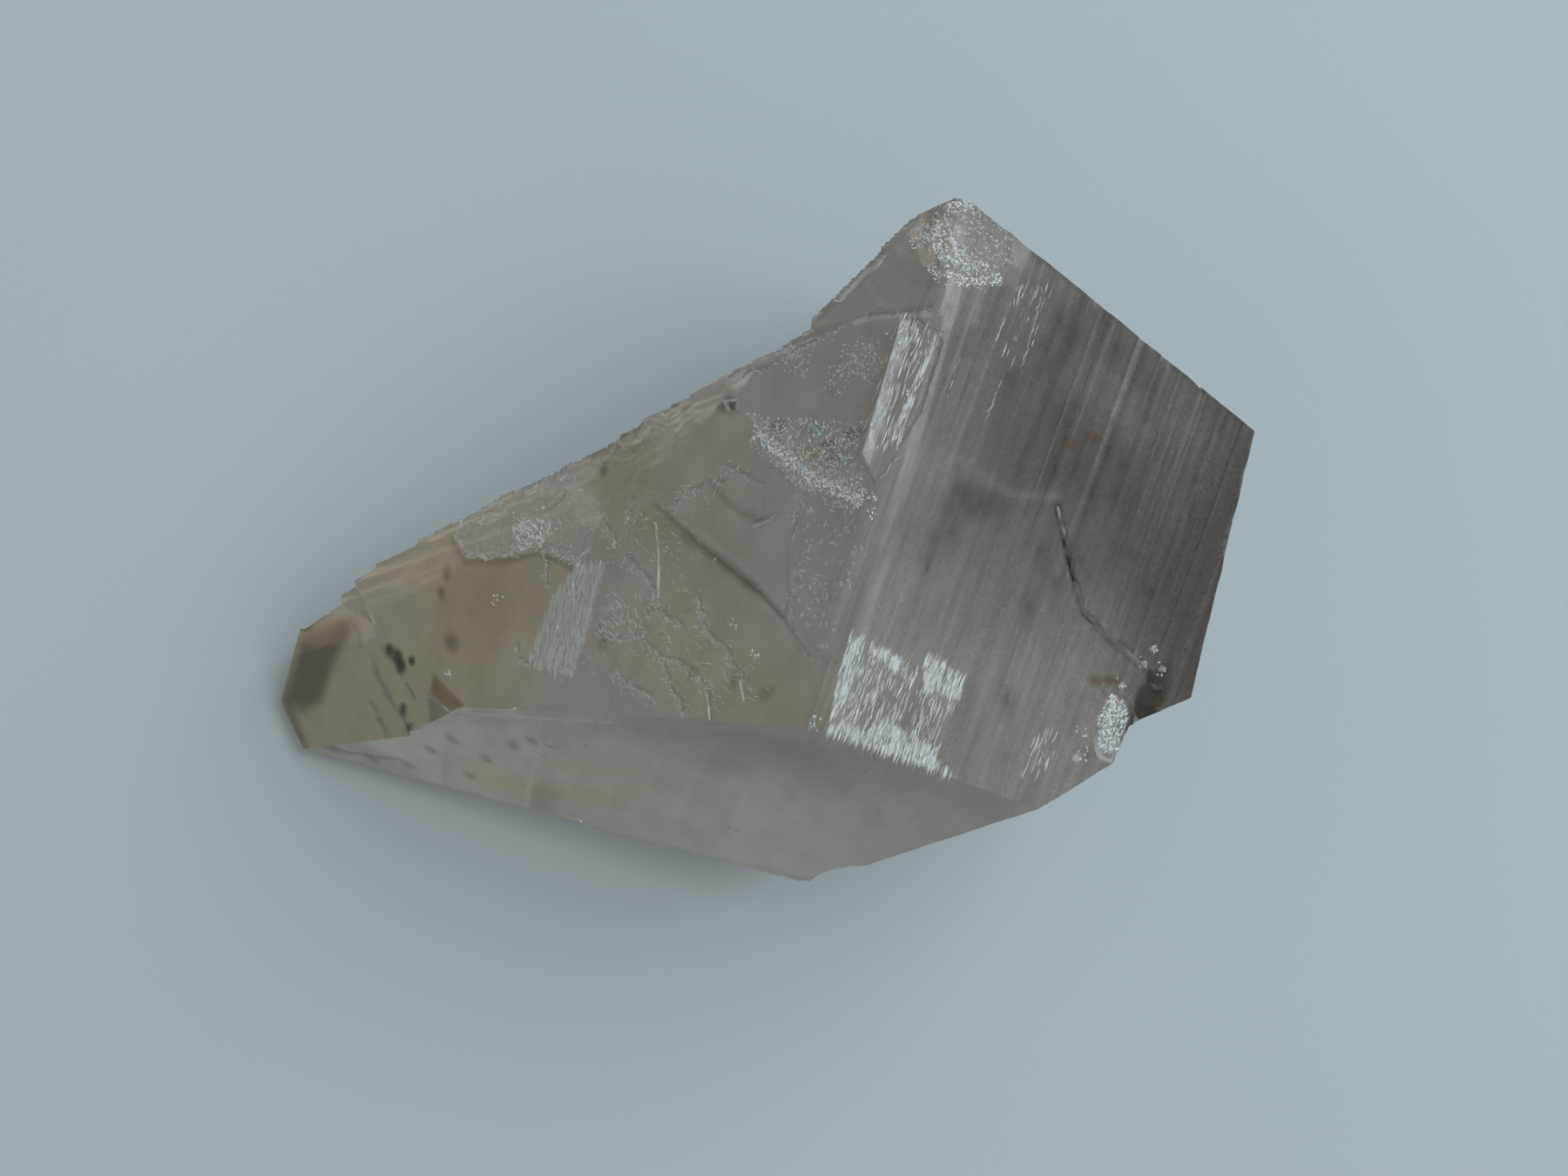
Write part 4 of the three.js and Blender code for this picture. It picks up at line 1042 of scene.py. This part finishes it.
def quartz_material():
    """Clear smoky quartz: it bends and absorbs light, and its stains, growth lines and painted light and
    shade lie on it.
    """
    t = Tree("smoky_quartz")
    place = t.node("TexCoord").outputs["Object"]
    lines = t.noise(t.turned((1.0, 0.03, 0.03)), 4200.0, 2.0, 0.7)
    bands = t.noise(t.turned((1.0, 0.04, 0.04)), 900.0, 3.0, 0.6)
    cloud = t.noise(t.turned((1.0, 0.5, 0.5)), 420.0, 4.0, 0.6)
    grain = t.noise(place, 2600.0, 2.0, 0.6)

    on_lines = t.attribute("lines")
    line_share = t.math("MULTIPLY", t.math("SUBTRACT", lines, 0.5), on_lines)
    band_share = t.math("MULTIPLY", t.math("SUBTRACT", bands, 0.5), on_lines)
    shade = t.math("MULTIPLY", t.varied(1.0, grain, 0.18), t.varied(1.0, cloud, 0.6))
    shade = t.math("MULTIPLY", shade, t.math("MULTIPLY_ADD", line_share, 0.9, 1.0))
    shade = t.math("MULTIPLY", shade, t.math("MULTIPLY_ADD", band_share, 0.7, 1.0))
    shades = t.node("CombineColor", (shade, shade, shade)).outputs[0]
    colour = t.mix(1.0, t.attribute("colour_and_painted_light", "Color"), shades, "MULTIPLY")
    streaks = t.mix(on_lines, grain, lines)
    frost_and_glints = t.ramp(t.varied(t.attribute("frost_and_glints"), streaks, 1.6), 0.35, 0.8)
    dull = t.varied(t.attribute("dull"), grain, 0.15)
    dull = t.math("MAXIMUM", dull, t.math("MULTIPLY", frost_and_glints, 0.6))
    t.give(t.shader, Base_Color=t.mix(frost_and_glints, colour, FROST_WHITE), Roughness=dull)

    bump = t.node("Bump")
    height = t.math("MULTIPLY_ADD", line_share, 1.0, t.math("MULTIPLY", grain, 0.12))
    t.give(bump, Strength=0.35, Distance=0.00008, Height=height)
    smoke = t.node("VolumeAbsorption")
    t.give(smoke, Color=SMOKE, Density=SMOKE_DENSITY)
    t.give(t.shader, IOR=IOR, Transmission_Weight=0.85, Normal=bump.outputs[0])
    t.give(t.output, Volume=smoke.outputs[0])
    return t.material


def sliver_material():
    """Crushed quartz: white, or tinted where a thin gap in the stone splits the light."""
    t = Tree("crushed_quartz")
    t.give(t.shader, Base_Color=t.attribute("colour_and_painted_light", "Color"), Roughness=0.35, IOR=IOR)
    return t.material


def table_material():
    """A pale, slightly cloudy table top."""
    t = Tree("pale_table")
    place = t.node("TexCoord").outputs["Object"]
    cloud = t.noise(place, 9.0, 2.0)
    colour = t.mix(cloud, (0.42, 0.49, 0.53, 1.0), (0.47, 0.54, 0.585, 1.0))
    t.give(t.shader, Base_Color=colour, Roughness=0.6)
    return t.material


# ---- the crystal
def added(name, data):
    """A new object in the scene."""
    made = bpy.data.objects.new(name, data)
    bpy.context.scene.collection.objects.link(made)
    return made


def build_crystal():
    """The crystal in place of its CAD node, and the crushed stone on it."""
    mesh = refined(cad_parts[CRYSTAL])
    mesh.polygons.foreach_set("use_smooth", [True] * len(mesh.polygons))
    mesh.set_sharp_from_angle(angle=math.radians(SHARP_EDGE))
    roughen(mesh)
    paint_crystal(mesh)
    mesh.materials.append(quartz_material())
    crystal = added("crystal", mesh)
    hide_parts(CRYSTAL)
    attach(crystal, "root")

    slivers = added("crushed_stone", crushed_stone(mesh))
    slivers.data.materials.append(sliver_material())
    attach(slivers, "root")


# ---- table, light and camera
TABLE_REACH = 5.0  # metres to each side
TABLE_GAP = 0.00005  # metres under the crystal, so that no faces share a plane


def build_table():
    """The table is only part of the picture, so it is staged."""
    corners = [(x, y, 0) for x, y in square(0, 0, TABLE_REACH)]
    mesh = bpy.data.meshes.new("table_mesh")
    mesh.from_pydata(corners, [], [(0, 1, 2, 3)])
    mesh.materials.append(table_material())
    table = added("table", mesh)
    table.location.z = -TABLE_GAP


def build_light():
    """A soft warm room, and a cooler window on the right, behind."""
    world = bpy.data.worlds.new("studio")
    bpy.context.scene.world = world
    world.use_nodes = True
    sky = world.node_tree.nodes["Background"]
    sky.inputs["Color"].default_value = (1.0, 0.98, 0.93, 1.0)
    sky.inputs["Strength"].default_value = 0.42
    lamp = bpy.data.lights.new("window", "AREA")
    lamp.shape = "DISK"
    lamp.size = 1.1
    lamp.energy = 10.5
    lamp.color = (0.84, 0.95, 1.0)
    window = added("window", lamp)
    window.location = (0.7, 0.4, 0.85)
    window.rotation_euler = (-window.location).to_track_quat("-Z", "Y").to_euler()


def build_camera():
    """Straight down, as in the photograph."""
    lens = bpy.data.cameras.new("camera")
    lens.lens = CAMERA_LENS
    lens.sensor_width = CAMERA_SENSOR
    lens.clip_start = 0.01
    camera = added("camera", lens)
    camera.location = Vector(CAMERA_PLACE) * MM
    bpy.context.scene.camera = camera


build_camera()
build_light()
build_table()
build_crystal()
bpy.context.scene.view_settings.view_transform = "Standard"
